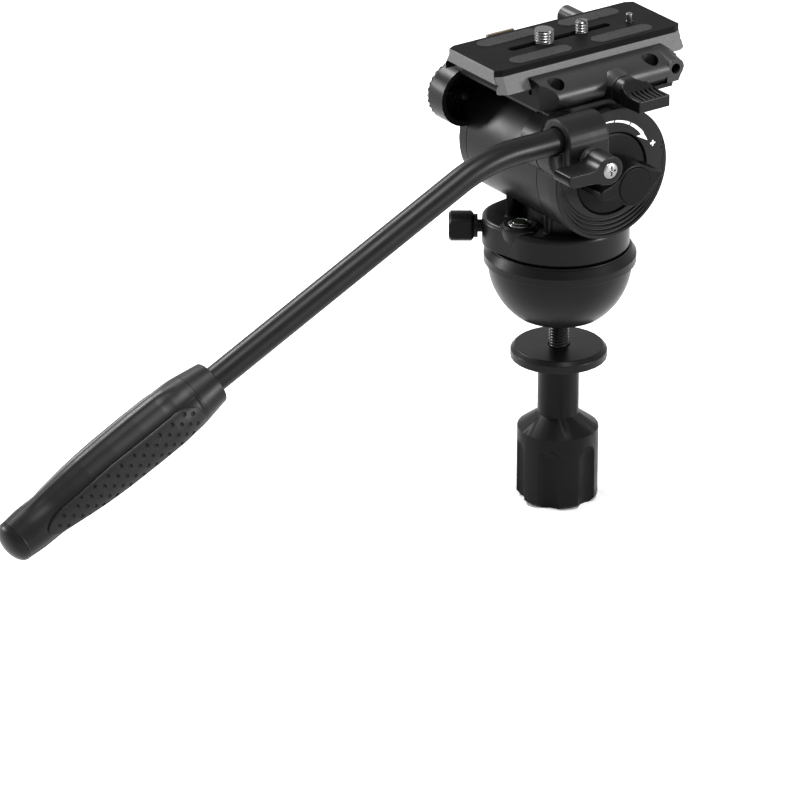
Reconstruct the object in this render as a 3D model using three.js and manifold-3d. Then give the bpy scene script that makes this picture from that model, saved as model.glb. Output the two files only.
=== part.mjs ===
// A two-way fluid video head: 75 mm half ball, pan and tilt drag, quick release plate, one pan handle.
// Millimetres, +Z up on the pan axis, +Y towards the lens, +X towards the right-hand side.
// The origin is on the pan axis, level with the underside of the rim that sits in the tripod bowl.
import * as THREE from "three";
import { mergeVertices } from "three/addons/utils/BufferGeometryUtils.js";
import Module from "manifold-3d";

const wasm = await Module();
wasm.setup();

// Fits
const fitGap = 0.3; // between pieces that stay together
const runGap = 0.4; // between pieces that move on each other
const overrun = 4; // how far a cutting tool passes the surface that it opens
const weld = 0.0001; // corners closer than this are one corner

// Facets of round pieces
const drumSides = 40;
const roundSides = 28;
const hiddenSides = 20;
const smallSides = 16;
const tinySides = 10;
const curveSteps = 4; // steps in each curved stretch of an outline
const edgeSteps = 2; // steps in a rounded edge

// Half ball and rim
const ballRadius = 35.5;
const ballDepth = 28;
const rimStep = 2;
const rimHeight = 4;
const rimChamferWidth = 2.5;
const rimChamferHeight = 3.8;
const lipStep = 0.4;
const lipHeight = 0.7;
const recessRadius = 20;
const recessDepth = 10;
const rimRadius = ballRadius + rimStep;
const chamferTop = rimHeight + rimChamferHeight;
const lipTop = chamferTop + lipHeight;
const lipRadius = rimRadius - rimChamferWidth - lipStep;

// Tie-down stud, clamp cup and tie-down knob, all under the ball
const studRadius = 5;
const studEngagement = 12;
const bowlSpace = 18; // the tripod bowl and its spider lie between the ball and the cup
const cupRadius = 24;
const cupThickness = 6;
const cupEdge = 2;
const knobNeckRadius = 10.2;
const knobNeckLength = 30;
const knobShoulder = 7.5;
const knobRadius = 20.2;
const knobLength = 38;
const knobEdge = 2;
const knobFloor = 12;
const fluteCount = 6;
const fluteRadius = 8.5;
const fluteDepth = 3.6;
const fluteStart = 4;
const fluteTurn = 12; // degrees, from +X to the first flute
const cupTop = -ballDepth - bowlSpace;
const cupBottom = cupTop - cupThickness;
const knobTop = cupBottom - fitGap;
const knobShoulderTop = knobTop - knobNeckLength;
const knobBodyTop = knobShoulderTop - knobShoulder;
const knobBottom = knobBodyTop - knobLength;
const studTop = -ballDepth + studEngagement;
const studBottom = knobBottom + knobFloor + fitGap;

// Pan housing, a round body with a boss at the rear for the pan lock
const turntableGap = 1.1;
const housingRadius = 34;
const housingHeight = 13.9;
const housingEdge = 2.5;
const bossHalfWidth = 10;
const bossReach = 38.3;
const bossTangentShare = 0.76; // where the boss runs into the round, as a share of the radius
const housingWeb = 10.4;
const nutRadius = 12; // across the corners
const nutSides = 6;
const nutThickness = 2.9;
const spindleRadius = 8;
const spindleFoot = 6;
const bushWall = 2;
const frictionInner = 21;
const frictionOuter = 31;
const housingBottom = lipTop + turntableGap;
const housingTop = housingBottom + housingHeight;
const nutFloor = housingBottom + housingWeb;
const frictionBottom = lipTop + fitGap;
const frictionTop = housingBottom - fitGap;

// Pan lock, in a group turned so that its own -Y points out of the boss
const lockAngle = -35.1; // degrees about the pan axis
const lockHeight = 7.5; // above the underside of the housing
const shoeRadius = 2;
const shoeLength = 7;
const lockScrewRadius = 3.1;
const lockShaftShown = 2;
const lockCollarRadius = 5.8;
const lockCollarLength = 2;
const lockKnobRadius = 7.5;
const lockKnobLength = 12.2;
const lockKnobFlat = 5.9;
const lockKnobEdge = 1.2;
const lockZ = housingBottom + lockHeight;
const shoeStart = spindleRadius + runGap;
const shoeEnd = shoeStart + shoeLength;

// Bubble level on the rear shoulder of the housing
const levelX = 2.5;
const levelY = -26.5;
const levelRadius = 6.8;
const levelWall = 1.5;
const levelRise = 2;
const levelDepth = 5;
const levelDome = 1.4;

// Drum on its pedestal
const drumRadius = 33;
const drumLift = 1.6;
const drumLeft = -33;
const drumRight = 24.3;
const drumWall = 4.5;
const pedestalRadius = 25.7;
const pedestalHalfWidth = 24;
const levelRecessHalf = 13;
const levelRecessFront = -17.3;
const tiltHeight = housingTop + drumLift + drumRadius;

// Tilt axle, bushes, drag discs and counterbalance spring inside the drum
const axleRadius = 8;
const axleEndGap = 0.4;
const stemRadius = 4;
const stemLength = 26;
const discThickness = 2;
const discStart = 6;
const discOuter = 24;
const springRadius = 15;
const springWire = 1.4;
const springPitch = 4.6;
const springTurns = 5;
const springStart = drumLeft + drumWall + fitGap + springWire;
const springSteps = 8;
const springSides = 5;

// Side plates of the tilt frame, both centred on the tilt axis
const sideRadius = 33;
const leftPlateThickness = 5.7;
const rightPlateThickness = 9.4;
const neckHalf = 22;
const neckFoot = 18;
const platformGap = 2.9;
const platformThickness = 2;
const platformLedge = 2.5; // past the foot of the plate clamp
const platformRear = -36;
const platformFront = 41.5;
const platformCorner = 4;
const saddleHalf = 16;
const saddleGap = 0.6;
const sideScrewX = -36.2;
const sideScrewY = 12;
const sideScrewRadius = 1.6;
const sideScrewHead = 2.6;
const sideScrewHeadHeight = 1.4;
const sideScrewLength = 9;
const axleCoverRadius = 13;
const axleCoverThickness = 1.8;
const leftPlateOuter = drumLeft - runGap - leftPlateThickness;
const rightPlateInner = drumRight + runGap;
const rightPlateOuter = rightPlateInner + rightPlateThickness;
const platformBottom = drumRadius + platformGap;
const platformTop = platformBottom + platformThickness;

// Rosette lobes behind and above the tilt axis, one on each side
const rosetteRadius = 15.2;
const rosetteY = -31.4;
const rosetteZ = 22.5;
const rosetteProud = 0.3;
const lobeRoot = 4.4;
const leftLobeThickness = 12.5;
const leftLobeInner = -34.5;
const lobeRim = 2.4;
const lobeFloor = 3;
const lobeRib = 1.4;
const lobeRibRise = 2;
const lobeDomeRadius = 3.2;
const lobeDomeRise = 3.4;
const toothCount = 30;
const toothHeight = 0.7;
const toothBand = 1.6;
const insertRadius = 11;
const insertThickness = 3;

// Dial ring with its arrow, on the right-hand side plate
const dialRadius = 33.2;
const dialThickness = 6.3;
const dialEdge = 0.8;
const dialBore = 21;
const dialInner = rightPlateOuter + fitGap;
const dialOuter = dialInner + dialThickness;
const lobeOuter = dialOuter + rosetteProud;

// Drag dial and wing knob
const dragDialProud = 0.4;
const dragDialEdge = 1.6;
const wingGap = 1.6;
const wingLength = 16.6;
const wingHub = 10.6;
const wingReachRear = 20.5;
const wingReachFront = 17.5;
const wingTip = 2;
const wingTurn = 2.7; // degrees, front wing up
const wingHeelShare = 0.62; // how far the wings' flanks start up the hub
const capRadius = 9.2;
const capDepth = 1.2;
const capProud = 0.3;
const dragDialOuter = dialOuter + dragDialProud;
const wingInner = dragDialOuter + wingGap;
const wingOuter = wingInner + wingLength;

// Camera plate
const plateRear = -54.2;
const plateFront = 56.3;
const plateLift = 8.8;
const plateBand = 3;
const plateSlope = 8.1;
const plateTopHalf = 20.2;
const plateFlare = 4.8; // how much further the foot reaches than the top
const plateChamferWidth = 2;
const plateChamferLength = 4;
const plateWeb = 6.6;
const plateLegStep = 0.6;
const slotRear = -32;
const slotFront = 28;
const slotHalf = 2.3;
const padLength = 35;
const padHalf = 4.25;
const padInset = 6.9;
const padRearY = -23;
const padFrontY = 25.3;
const padSink = 0.6;
const padProud = 0.3;
const plateFootHalf = plateTopHalf + plateFlare;
const plateLegInner = plateTopHalf + plateLegStep;
const padX = plateTopHalf - padInset;
const plateBottom = platformTop + plateLift;
const plateShoulder = plateBottom + plateSlope;
const plateTop = plateShoulder + plateBand;

// Plate clamp
const clampRear = -37;
const clampFront = 35.5;
const noseFront = 46;
const noseWall = 5;
const noseHeight = 10;
const noseSlope = 4;
const clampHeight = 14;
const clampWall = 10.5;
const clampSwell = 4.9;
const clampBulgeLowShare = 0.3;
const clampBulgeHighShare = 0.95;
const clampLipWidth = 4.2;
const clampChamfer = 4;
const slideGap = 0.45;
const grooveDepth = 3;
const landStep = 2;
const clampScrewInset = 3;
const clampScrewY = 28;
const clampScrewBore = 4.1;
const clampScrewHead = 3.7;
const clampScrewHeadHeight = 4;
const clampScrewRadius = 2;
const clampScrewSeat = 2.4;
const clampScrewTip = 1.7;
const clampFoot = plateFootHalf + clampWall;
const clampBulge = clampFoot + clampSwell;
const clampLip = plateTopHalf + clampLipWidth;
const landHalf = plateFootHalf - landStep;
const noseHalf = plateFootHalf + noseWall;
const clampScrewX = clampFoot - clampScrewInset;
const platformHalfWidth = clampFoot + platformLedge;

// Accessory bosses at the front of the clamp
const accessoryY = 39.6;
const accessoryZ = 6.4; // above the platform
const accessorySlope = 3.2;
const accessoryRadius = 5;
const accessoryHole = 2.6;
const accessoryHoleDepth = 10;
const accessoryRightReach = 2.5;
const accessoryLeftReach = 15.5;
const accessoryRootStep = 3;
const accessoryRight = clampFoot + accessoryRightReach;
const accessoryLeft = -clampFoot - accessoryLeftReach;
const accessoryRoot = noseHalf - accessoryRootStep;

// Plate lock lever with its shaft and the jaw that it drives
const leverY = 5.5;
const leverZ = 4.4; // above the platform
const leverBossRadius = 7.2;
const leverBossReach = 5.8;
const leverHubRadius = 6.7;
const leverHubLength = 6;
const leverNeckRadius = 3;
const leverNeckLength = 7;
const leverLength = 20;
const paddleStart = 3;
const paddleFront = 12.5;
const paddleRear = -5.8;
const paddleBottom = -4.7;
const paddleTop = 1.3;
const paddleRibCount = 6;
const paddleRibPitch = 2.4;
const paddleRibWidth = 1.2;
const paddleRibHeight = 0.5;
const leverShaftRadius = 3.2;
const jawHalf = 7.5;
const jawBottom = 4.6; // above the platform
const jawHeight = 6.4;
const jawThickness = 4;
const jawTravel = 1.6;
const leverBossOuter = clampFoot + leverBossReach;

// Safety catch, a thin sprung tab in the left wall of the clamp
const catchInset = 0.9;
const catchThickness = 1.8;
const catchRear = -20;
const catchFront = -4;
const catchTravel = 2.5;
const catchFloor = 1;
const catchX = catchInset - clampFoot;

// Camera screws in the slot: [name, place along the slot, thread radius, height above the plate]
const cameraScrews = [
  ["three_eighths", -11.1, 4.76, 6.2],
  ["quarter_inch", 11.2, 3.175, 5.6],
];
const screwNeckRadius = 2;
const screwNeckRise = 1.2;
const screwHeadRadius = 6;
const screwHeadHeight = 1.8;
const screwCollarThickness = 0.8;
const threadPitch = 1.5;
const threadDepth = 0.55;

// Alignment pin
const pinX = 4;
const pinY = 37;
const pinRadius = 1.7;
const pinRise = 5.2;
const pinFlangeRadius = 2.6;
const pinFlangeThickness = 1;
const pinShoulder = 3;
const pinDome = 0.6;

// Handle arm, turning on the right-hand rosette; heights and places are from the rosette's axis
const armHubLength = 11.4;
const armGroove = 1.2;
const armGrooveDepth = 1.7;
const armOuterLength = 9.2;
const socketRadius = 10.8;
const socketRise = 8.1;
const socketRear = -10.8;
const socketFront = 12.5;
const boltRadius = 3;
const armInner = lobeOuter + runGap;
const armGrooveStart = armInner + armHubLength;
const armOuterStart = armGrooveStart + armGroove;
const armOuter = armOuterStart + armOuterLength;
const socketX = armInner + socketRadius;

// Handle tube
const tubeRadius = 6.35;
const tubeEngagement = 6;
const spigotRadius = 4.2;
const spigotLength = 14;
const tubeCorner = 51.4; // from the rosette's axis back to the corner of the bend
const tubeBend = 18; // from the corner to where the bend starts and ends
const tubeDrop = 25.4; // degrees below level
const tubeFall = 171.5; // from the corner to the grip
const tubeInGrip = 48;
const tubeHalfSides = 8;
const tubeSteps = 26;

// Grip: radii at distances along the handle
const collarLength = 12.5;
const collarNose = 10.7;
const collarRadius = 12.9;
const gripLength = 103;
const gripSwell = 15.3;
const gripTail = 10.3;
const gripSwellStartShare = 0.13;
const gripSwellEndShare = 0.42;
const gripWaistShare = 0.76;
const gripWaistRadiusShare = 0.885;
const gripCapLength = 9.5;
const panelStart = 4;
const panelEnd = 9;
const panelHalf = 9;
const panelPlane = 9;
const gripStart = collarLength + fitGap;
const gripEnd = gripStart + gripLength;

// Handle lock lever
const washerRadius = 6.1;
const washerThickness = 4;
const lockLeverLength = 13;
const lockLeverHub = 7.8;
const lockLeverReach = 24.6;
const lockLeverTip = 5.2;
const lockLeverDrop = 0.8;
const lockScrewHead = 4.1;
const lockScrewSink = 1;
const lockScrewRise = 0.8;
const crossWidth = 1;
const crossDepth = 0.7;
const washerInner = armOuter + runGap;
const lockLeverInner = washerInner + washerThickness + fitGap;
const lockLeverOuter = lockLeverInner + lockLeverLength;

// Finishes
const blackAnodised = () => finish(0x1b1b1c, 0.45, 0.6);
const sandblasted = () => finish(0x4a4a4a, 0.55, 0.6);
const blackPlastic = () => finish(0x141414, 0.5, 0);
const gripRubber = () => finish(0x1c1c1c, 0.75, 0);
const padRubber = () => finish(0x3a3a3a, 0.85, 0);
const chrome = () => finish(0xd8d8d8, 0.18, 1);
const steel = () => finish(0x8f9194, 0.35, 1);
const bronze = () => finish(0xa8834f, 0.4, 1);
const brass = () => finish(0x7c6a46, 0.4, 0.9);
const white = () => finish(0xbfc7c4, 0.1, 0);

function finish(color, roughness, metalness) {
  return new THREE.MeshStandardMaterial({ color, roughness, metalness });
}

// Joining and cutting

function toSolid(geometry) {
  const plain = geometry.index ? geometry.toNonIndexed() : geometry.clone();
  plain.deleteAttribute("normal");
  plain.deleteAttribute("uv");
  const merged = mergeVertices(plain, weld);
  const triVerts = new Uint32Array(merged.index.array);
  const vertProperties = merged.attributes.position.array;
  return new wasm.Manifold(new wasm.Mesh({ numProp: 3, vertProperties, triVerts }));
}

function toGeometry(solid) {
  const mesh = solid.getMesh();
  const geometry = new THREE.BufferGeometry();
  geometry.setAttribute("position", new THREE.BufferAttribute(mesh.vertProperties, 3));
  geometry.setIndex(new THREE.BufferAttribute(mesh.triVerts, 1));
  geometry.computeVertexNormals();
  return geometry;
}

function join(...geometries) {
  return toGeometry(geometries.map(toSolid).reduce((sum, solid) => sum.add(solid)));
}

function cut(geometry, ...tools) {
  return toGeometry(tools.map(toSolid).reduce((rest, tool) => rest.subtract(tool), toSolid(geometry)));
}

function common(first, second) {
  return toGeometry(toSolid(first).intersect(toSolid(second)));
}

// Plain shapes

function block(x0, x1, y0, y1, z0, z1) {
  const box = new THREE.BoxGeometry(x1 - x0, y1 - y0, z1 - z0);
  return box.translate((x0 + x1) / 2, (y0 + y1) / 2, (z0 + z1) / 2);
}

function rodX(radius, x0, x1, y = 0, z = 0, sides = roundSides) {
  const rod = new THREE.CylinderGeometry(radius, radius, x1 - x0, sides);
  return rod.rotateZ(-Math.PI / 2).translate((x0 + x1) / 2, y, z);
}

function rodY(radius, y0, y1, x = 0, z = 0, sides = roundSides) {
  const rod = new THREE.CylinderGeometry(radius, radius, y1 - y0, sides);
  return rod.translate(x, (y0 + y1) / 2, z);
}

function rodZ(radius, z0, z1, x = 0, y = 0, sides = roundSides) {
  const rod = new THREE.CylinderGeometry(radius, radius, z1 - z0, sides);
  return rod.rotateX(Math.PI / 2).translate(x, y, (z0 + z1) / 2);
}

// A turned piece: pairs of radius and distance along the axis, its outer side running forwards.
function turned(profile, sides = roundSides) {
  const points = profile.map(([radius, along]) => new THREE.Vector2(radius, along));
  return new THREE.LatheGeometry(points, sides);
}

function turnedX(profile, sides) {
  return turned(profile, sides).rotateZ(-Math.PI / 2);
}

function turnedZ(profile, sides) {
  return turned(profile, sides).rotateX(Math.PI / 2);
}

function ring(inner, outer, start, end) {
  return [
    [inner, start],
    [outer, start],
    [outer, end],
    [inner, end],
    [inner, start],
  ];
}

// An outline in Y and Z drawn out along X, and one in X and Z drawn out along Y.
function prismX(outline, x0, x1) {
  const settings = { depth: x1 - x0, bevelEnabled: false, curveSegments: curveSteps };
  const turn = new THREE.Matrix4().makeBasis(
    new THREE.Vector3(0, 1, 0),
    new THREE.Vector3(0, 0, 1),
    new THREE.Vector3(1, 0, 0),
  );
  return new THREE.ExtrudeGeometry(outline, settings).applyMatrix4(turn).translate(x0, 0, 0);
}

function prismY(outline, y0, y1) {
  const settings = { depth: y1 - y0, bevelEnabled: false, curveSegments: curveSteps };
  return new THREE.ExtrudeGeometry(outline, settings).rotateX(Math.PI / 2).translate(0, y1, 0);
}

function prismZ(outline, z0, z1) {
  const settings = { depth: z1 - z0, bevelEnabled: false, curveSegments: curveSteps };
  return new THREE.ExtrudeGeometry(outline, settings).translate(0, 0, z0);
}

function polygon(points) {
  return new THREE.Shape(points.map(([u, v]) => new THREE.Vector2(u, v)));
}

// A slot outline of two half rounds, its length along the second coordinate.
function stadium(u, start, end, half) {
  const outline = new THREE.Shape();
  outline.absarc(u, end - half, half, 0, Math.PI, false);
  outline.absarc(u, start + half, half, Math.PI, 2 * Math.PI, false);
  outline.closePath();
  return outline;
}

// A solid between two level outlines of as many points, both convex and anticlockwise from above.
function loft(lower, lowerZ, upper, upperZ) {
  const count = lower.length;
  const corners = [...lower.map(([x, y]) => [x, y, lowerZ]), ...upper.map(([x, y]) => [x, y, upperZ])];
  const faces = [];
  for (let i = 0; i < count; i++) {
    const next = (i + 1) % count;
    faces.push(i, next, count + next, i, count + next, count + i);
  }
  for (let i = 1; i < count - 1; i++) {
    faces.push(0, i + 1, i, count, count + i, count + i + 1);
  }
  const geometry = new THREE.BufferGeometry();
  geometry.setAttribute("position", new THREE.Float32BufferAttribute(corners.flat(), 3));
  geometry.setIndex(faces);
  return geometry;
}

// A coil of round wire along X
class Helix extends THREE.Curve {
  constructor(radius, pitch, turns) {
    super();
    Object.assign(this, { radius, pitch, turns });
  }
  getPoint(share, target = new THREE.Vector3()) {
    const angle = 2 * Math.PI * this.turns * share;
    const along = this.pitch * this.turns * share;
    return target.set(along, this.radius * Math.cos(angle), this.radius * Math.sin(angle));
  }
}

function coil(radius, wire, pitch, turns) {
  const section = [];
  for (let i = 0; i < springSides; i++) {
    const angle = (2 * Math.PI * i) / springSides;
    section.push([wire * Math.cos(angle), wire * Math.sin(angle)]);
  }
  const extrudePath = new Helix(radius, pitch, turns);
  const settings = { steps: springSteps * turns, bevelEnabled: false, extrudePath };
  return new THREE.ExtrudeGeometry(polygon(section), settings);
}

function group(parent, x = 0, y = 0, z = 0) {
  const made = new THREE.Group();
  made.position.set(x, y, z);
  parent.add(made);
  return made;
}

function piece(parent, name, geometry, material) {
  const mesh = new THREE.Mesh(geometry, material);
  mesh.name = name;
  parent.add(mesh);
  return mesh;
}

// Base: half ball, stud, spindle, cup and tie-down knob

function makeHalfBall() {
  const lowest = Math.asin(ballDepth / ballRadius);
  const profile = [[0, -ballDepth]];
  for (let i = 0; i <= curveSteps; i++) {
    const angle = lowest * (1 - i / curveSteps);
    profile.push([ballRadius * Math.cos(angle), -ballRadius * Math.sin(angle)]);
  }
  profile.push([rimRadius, 0], [rimRadius, rimHeight]);
  profile.push([rimRadius - rimChamferWidth, chamferTop], [lipRadius, chamferTop]);
  profile.push([lipRadius, lipTop], [recessRadius, lipTop], [recessRadius, -recessDepth]);
  profile.push([0, -recessDepth]);
  const studBore = rodZ(studRadius + fitGap, -ballDepth - overrun, studTop + fitGap, 0, 0, smallSides);
  return cut(turnedZ(profile, drumSides), studBore);
}

function makeSpindle() {
  const top = nutFloor + fitGap + nutThickness;
  return turnedZ([
    [0, -recessDepth],
    [recessRadius - fitGap, -recessDepth],
    [recessRadius - fitGap, -recessDepth + spindleFoot],
    [spindleRadius, -recessDepth + spindleFoot],
    [spindleRadius, top],
    [0, top],
  ], hiddenSides);
}

function makePanNut() {
  const bottom = nutFloor + fitGap;
  const top = bottom + nutThickness;
  return cut(
    rodZ(nutRadius, bottom, top, 0, 0, nutSides),
    rodZ(spindleRadius + fitGap, bottom - overrun, top + overrun, 0, 0, smallSides),
  );
}

function makeClampCup() {
  const bore = studRadius + runGap;
  return turnedZ([
    [bore, cupBottom],
    [cupRadius, cupBottom],
    [cupRadius, cupTop - cupEdge],
    [cupRadius - cupEdge, cupTop],
    [bore, cupTop],
    [bore, cupBottom],
  ]);
}

function makeTieDownKnob() {
  const body = turnedZ([
    [0, knobBottom],
    [knobRadius - knobEdge, knobBottom],
    [knobRadius, knobBottom + knobEdge],
    [knobRadius, knobBodyTop],
    [knobNeckRadius, knobShoulderTop],
    [knobNeckRadius, knobTop],
    [0, knobTop],
  ]);
  const bore = rodZ(studRadius + runGap, knobBottom + knobFloor, knobTop + overrun, 0, 0, smallSides);
  const flutes = [];
  const fluteAxis = knobRadius - fluteDepth + fluteRadius;
  const fluteTop = knobBodyTop - fluteStart - fluteRadius;
  for (let i = 0; i < fluteCount; i++) {
    const angle = THREE.MathUtils.degToRad(fluteTurn + (360 * i) / fluteCount);
    const x = fluteAxis * Math.cos(angle);
    const y = fluteAxis * Math.sin(angle);
    const dome = new THREE.SphereGeometry(fluteRadius, smallSides, tinySides).rotateX(Math.PI / 2);
    flutes.push(rodZ(fluteRadius, knobBottom - overrun, fluteTop, x, y, smallSides));
    flutes.push(dome.translate(x, y, fluteTop));
  }
  return cut(body, bore, ...flutes);
}

// Pan body: housing, level, lock, drum on its pedestal

function makePanHousing() {
  const side = housingRadius * bossTangentShare;
  const tangentY = -Math.sqrt(housingRadius ** 2 - side ** 2);
  const start = Math.atan2(tangentY, side);
  const outline = new THREE.Shape();
  outline.moveTo(-bossHalfWidth, -bossReach);
  outline.lineTo(bossHalfWidth, -bossReach);
  outline.absarc(0, 0, housingRadius, start, Math.PI - start, false);
  outline.closePath();
  const settings = {
    depth: housingHeight - housingEdge,
    bevelThickness: housingEdge,
    bevelSize: housingEdge,
    bevelOffset: -housingEdge,
    bevelSegments: edgeSteps,
    curveSegments: smallSides,
  };
  const rounded = new THREE.ExtrudeGeometry(outline, settings).translate(0, 0, housingBottom);
  const under = block(-bossReach - overrun, bossReach + overrun, -bossReach - overrun,
    bossReach + overrun, housingBottom - housingEdge - overrun, housingBottom);
  const body = cut(rounded, under).rotateZ(THREE.MathUtils.degToRad(lockAngle));
  const tools = [
    rodZ(spindleRadius + runGap + bushWall + fitGap, housingBottom - overrun, housingTop + overrun),
    rodZ(nutRadius + runGap, nutFloor, housingTop + overrun),
    rodZ(levelRadius + fitGap, housingTop - levelDepth, housingTop + overrun, levelX, levelY, smallSides),
    lockTool(shoeRadius + runGap, spindleRadius, shoeEnd + overrun),
    lockTool(lockScrewRadius + runGap, shoeEnd, bossReach + overrun),
  ];
  return cut(body, ...tools);
}

// A rod along the pan lock's axis, in the pan body's own frame.
function lockTool(radius, from, to) {
  const rod = rodY(radius, -to, -from, 0, lockZ, smallSides);
  return rod.rotateZ(THREE.MathUtils.degToRad(lockAngle));
}

function makePanBush() {
  const inner = spindleRadius + runGap;
  const bush = turnedZ(ring(inner, inner + bushWall, housingBottom, nutFloor), smallSides);
  return cut(bush, lockTool(shoeRadius + runGap, 0, inner + bushWall + overrun));
}

function makeDrumHousing() {
  const far = drumRadius + overrun;
  const pedestal = common(
    rodZ(pedestalRadius, housingTop, tiltHeight, 0, 0, drumSides),
    block(-pedestalHalfWidth, pedestalHalfWidth, -far, far, housingTop, tiltHeight),
  );
  const levelSpace = block(levelX - levelRecessHalf, levelX + levelRecessHalf, -far, levelRecessFront,
    housingTop - overrun, tiltHeight - overrun);
  const body = join(cut(pedestal, levelSpace), rodX(drumRadius, drumLeft, drumRight, 0, tiltHeight,
    drumSides));
  const bushOuter = axleRadius + runGap + bushWall;
  const tools = [
    rodX(drumRadius - drumWall, drumLeft + drumWall, drumRight + overrun, 0, tiltHeight, drumSides),
    rodX(bushOuter + fitGap, drumLeft - overrun, drumLeft + drumWall + overrun, 0, tiltHeight),
  ];
  return cut(body, ...tools);
}

function makeDrumCover() {
  const inner = axleRadius + runGap + bushWall + fitGap;
  return turnedX(ring(inner, drumRadius - drumWall - fitGap, drumRight - drumWall, drumRight), hiddenSides);
}

function makeLevelVial() {
  const bottom = housingTop - levelDepth;
  return turnedZ([
    [0, bottom],
    [levelRadius, bottom],
    [levelRadius, housingTop + levelRise],
    [levelRadius * Math.SQRT1_2, housingTop + levelRise + levelDome * Math.SQRT1_2],
    [0, housingTop + levelRise + levelDome],
  ], smallSides);
}

function makeLockKnob() {
  const start = bossReach + lockShaftShown;
  const body = start + lockCollarLength;
  const end = body + lockKnobLength;
  const knob = turned([
    [0, start],
    [lockCollarRadius, start],
    [lockCollarRadius, body],
    [lockKnobRadius - lockKnobEdge, body],
    [lockKnobRadius, body + lockKnobEdge],
    [lockKnobRadius, end - lockKnobEdge],
    [lockKnobRadius - lockKnobEdge, end],
    [0, end],
  ], smallSides).rotateX(Math.PI);
  const far = lockKnobRadius + overrun;
  const grip = cut(
    knob,
    block(-far, -lockKnobFlat, -end - overrun, -body - lockKnobEdge, -far, far),
    block(lockKnobFlat, far, -end - overrun, -body - lockKnobEdge, -far, far),
  );
  return join(grip, rodY(lockScrewRadius, -body, -shoeEnd - fitGap, 0, 0, smallSides));
}

// Tilt body, in a group on the tilt axis

function platformOutline() {
  return polygon([
    [-platformHalfWidth, platformRear],
    [platformHalfWidth, platformRear],
    [platformHalfWidth, platformFront - platformCorner],
    [platformHalfWidth - platformCorner, platformFront],
    [platformCorner - platformHalfWidth, platformFront],
    [-platformHalfWidth, platformFront - platformCorner],
  ]);
}

function makeTiltFrame() {
  const clearance = rosetteRadius + fitGap;
  const platform = cut(
    prismZ(platformOutline(), platformBottom, platformTop),
    rodX(clearance, -platformHalfWidth - overrun, leftLobeInner + fitGap, rosetteY, rosetteZ),
  );
  const saddleBottom = drumRadius + saddleGap;
  const body = join(
    rodX(sideRadius, rightPlateInner, rightPlateOuter, 0, 0, drumSides),
    block(rightPlateInner, rightPlateOuter, -neckHalf, neckHalf, neckFoot, platformBottom),
    platform,
    block(drumLeft, rightPlateInner, -saddleHalf, saddleHalf, saddleBottom, platformBottom),
    rodX(rosetteRadius, rightPlateInner + lobeRoot, lobeOuter, rosetteY, rosetteZ),
  );
  const tools = [
    rodX(axleRadius + fitGap, rightPlateInner - overrun, rightPlateOuter + overrun),
    rodX(insertRadius + fitGap, lobeOuter - insertThickness - fitGap, lobeOuter + overrun, rosetteY,
      rosetteZ),
    rodX(boltRadius + runGap, rightPlateInner, lobeOuter + overrun, rosetteY, rosetteZ, smallSides),
  ];
  clampScrewPlaces().forEach(([, x, y]) => {
    tools.push(rodZ(clampScrewRadius + fitGap, platformBottom - overrun, platformTop + overrun, x, y,
      tinySides));
  });
  [-sideScrewY, sideScrewY].forEach((y) => {
    tools.push(rodZ(sideScrewRadius + fitGap, platformBottom - overrun, platformTop + overrun, sideScrewX, y,
      tinySides));
    tools.push(rodZ(sideScrewHead + fitGap, platformTop - sideScrewHeadHeight - fitGap,
      platformTop + overrun, sideScrewX, y, tinySides));
  });
  return cut(body, ...tools);
}

function makeLeftSidePlate() {
  const plateInner = leftPlateOuter + leftPlateThickness;
  const lobeEnd = leftLobeInner - leftLobeThickness;
  const teethStart = lobeEnd + toothBand;
  const outline = [];
  for (let i = 0; i < 2 * toothCount; i++) {
    const angle = (Math.PI * i) / toothCount;
    const radius = i % 2 ? rosetteRadius - toothHeight : rosetteRadius;
    outline.push([rosetteY + radius * Math.cos(angle), rosetteZ + radius * Math.sin(angle)]);
  }
  const pocket = rodX(rosetteRadius - lobeRim, lobeEnd + lobeFloor, leftLobeInner + overrun, rosetteY,
    rosetteZ);
  const lobe = cut(rodX(rosetteRadius, teethStart, leftLobeInner, rosetteY, rosetteZ), pocket);
  const dome = turnedX([
    [0, teethStart],
    [lobeDomeRadius, teethStart],
    [lobeDomeRadius, leftLobeInner - lobeDomeRise],
    [lobeDomeRadius * Math.SQRT1_2, leftLobeInner - lobeDomeRise * (1 - Math.SQRT1_2)],
    [0, leftLobeInner],
  ], tinySides).translate(0, rosetteY, rosetteZ);
  const reach = rosetteRadius - lobeRim + lobeRib;
  const ribTop = lobeEnd + lobeFloor + lobeRibRise;
  const ribs = [
    block(teethStart, ribTop, rosetteY - reach, rosetteY + reach, rosetteZ - lobeRib / 2,
      rosetteZ + lobeRib / 2),
    block(teethStart, ribTop, rosetteY - lobeRib / 2, rosetteY + lobeRib / 2, rosetteZ - reach,
      rosetteZ + reach),
  ];
  const body = join(
    prismX(polygon(outline), lobeEnd, teethStart),
    rodX(rosetteRadius - toothHeight, lobeEnd + toothBand / 2, lobeEnd + lobeFloor, rosetteY, rosetteZ),
    lobe,
    dome,
    ...ribs,
    rodX(sideRadius, leftPlateOuter, plateInner, 0, 0, drumSides),
    block(leftPlateOuter, plateInner, -neckHalf, neckHalf, neckFoot, platformBottom),
  );
  const tools = [rodX(axleRadius + fitGap, leftPlateOuter - overrun, plateInner + overrun)];
  const screwEnd = platformTop - sideScrewHeadHeight - sideScrewLength - fitGap;
  [-sideScrewY, sideScrewY].forEach((y) => {
    tools.push(rodZ(sideScrewRadius + fitGap, screwEnd, platformBottom + overrun, sideScrewX, y, tinySides));
  });
  return cut(body, ...tools);
}

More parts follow.
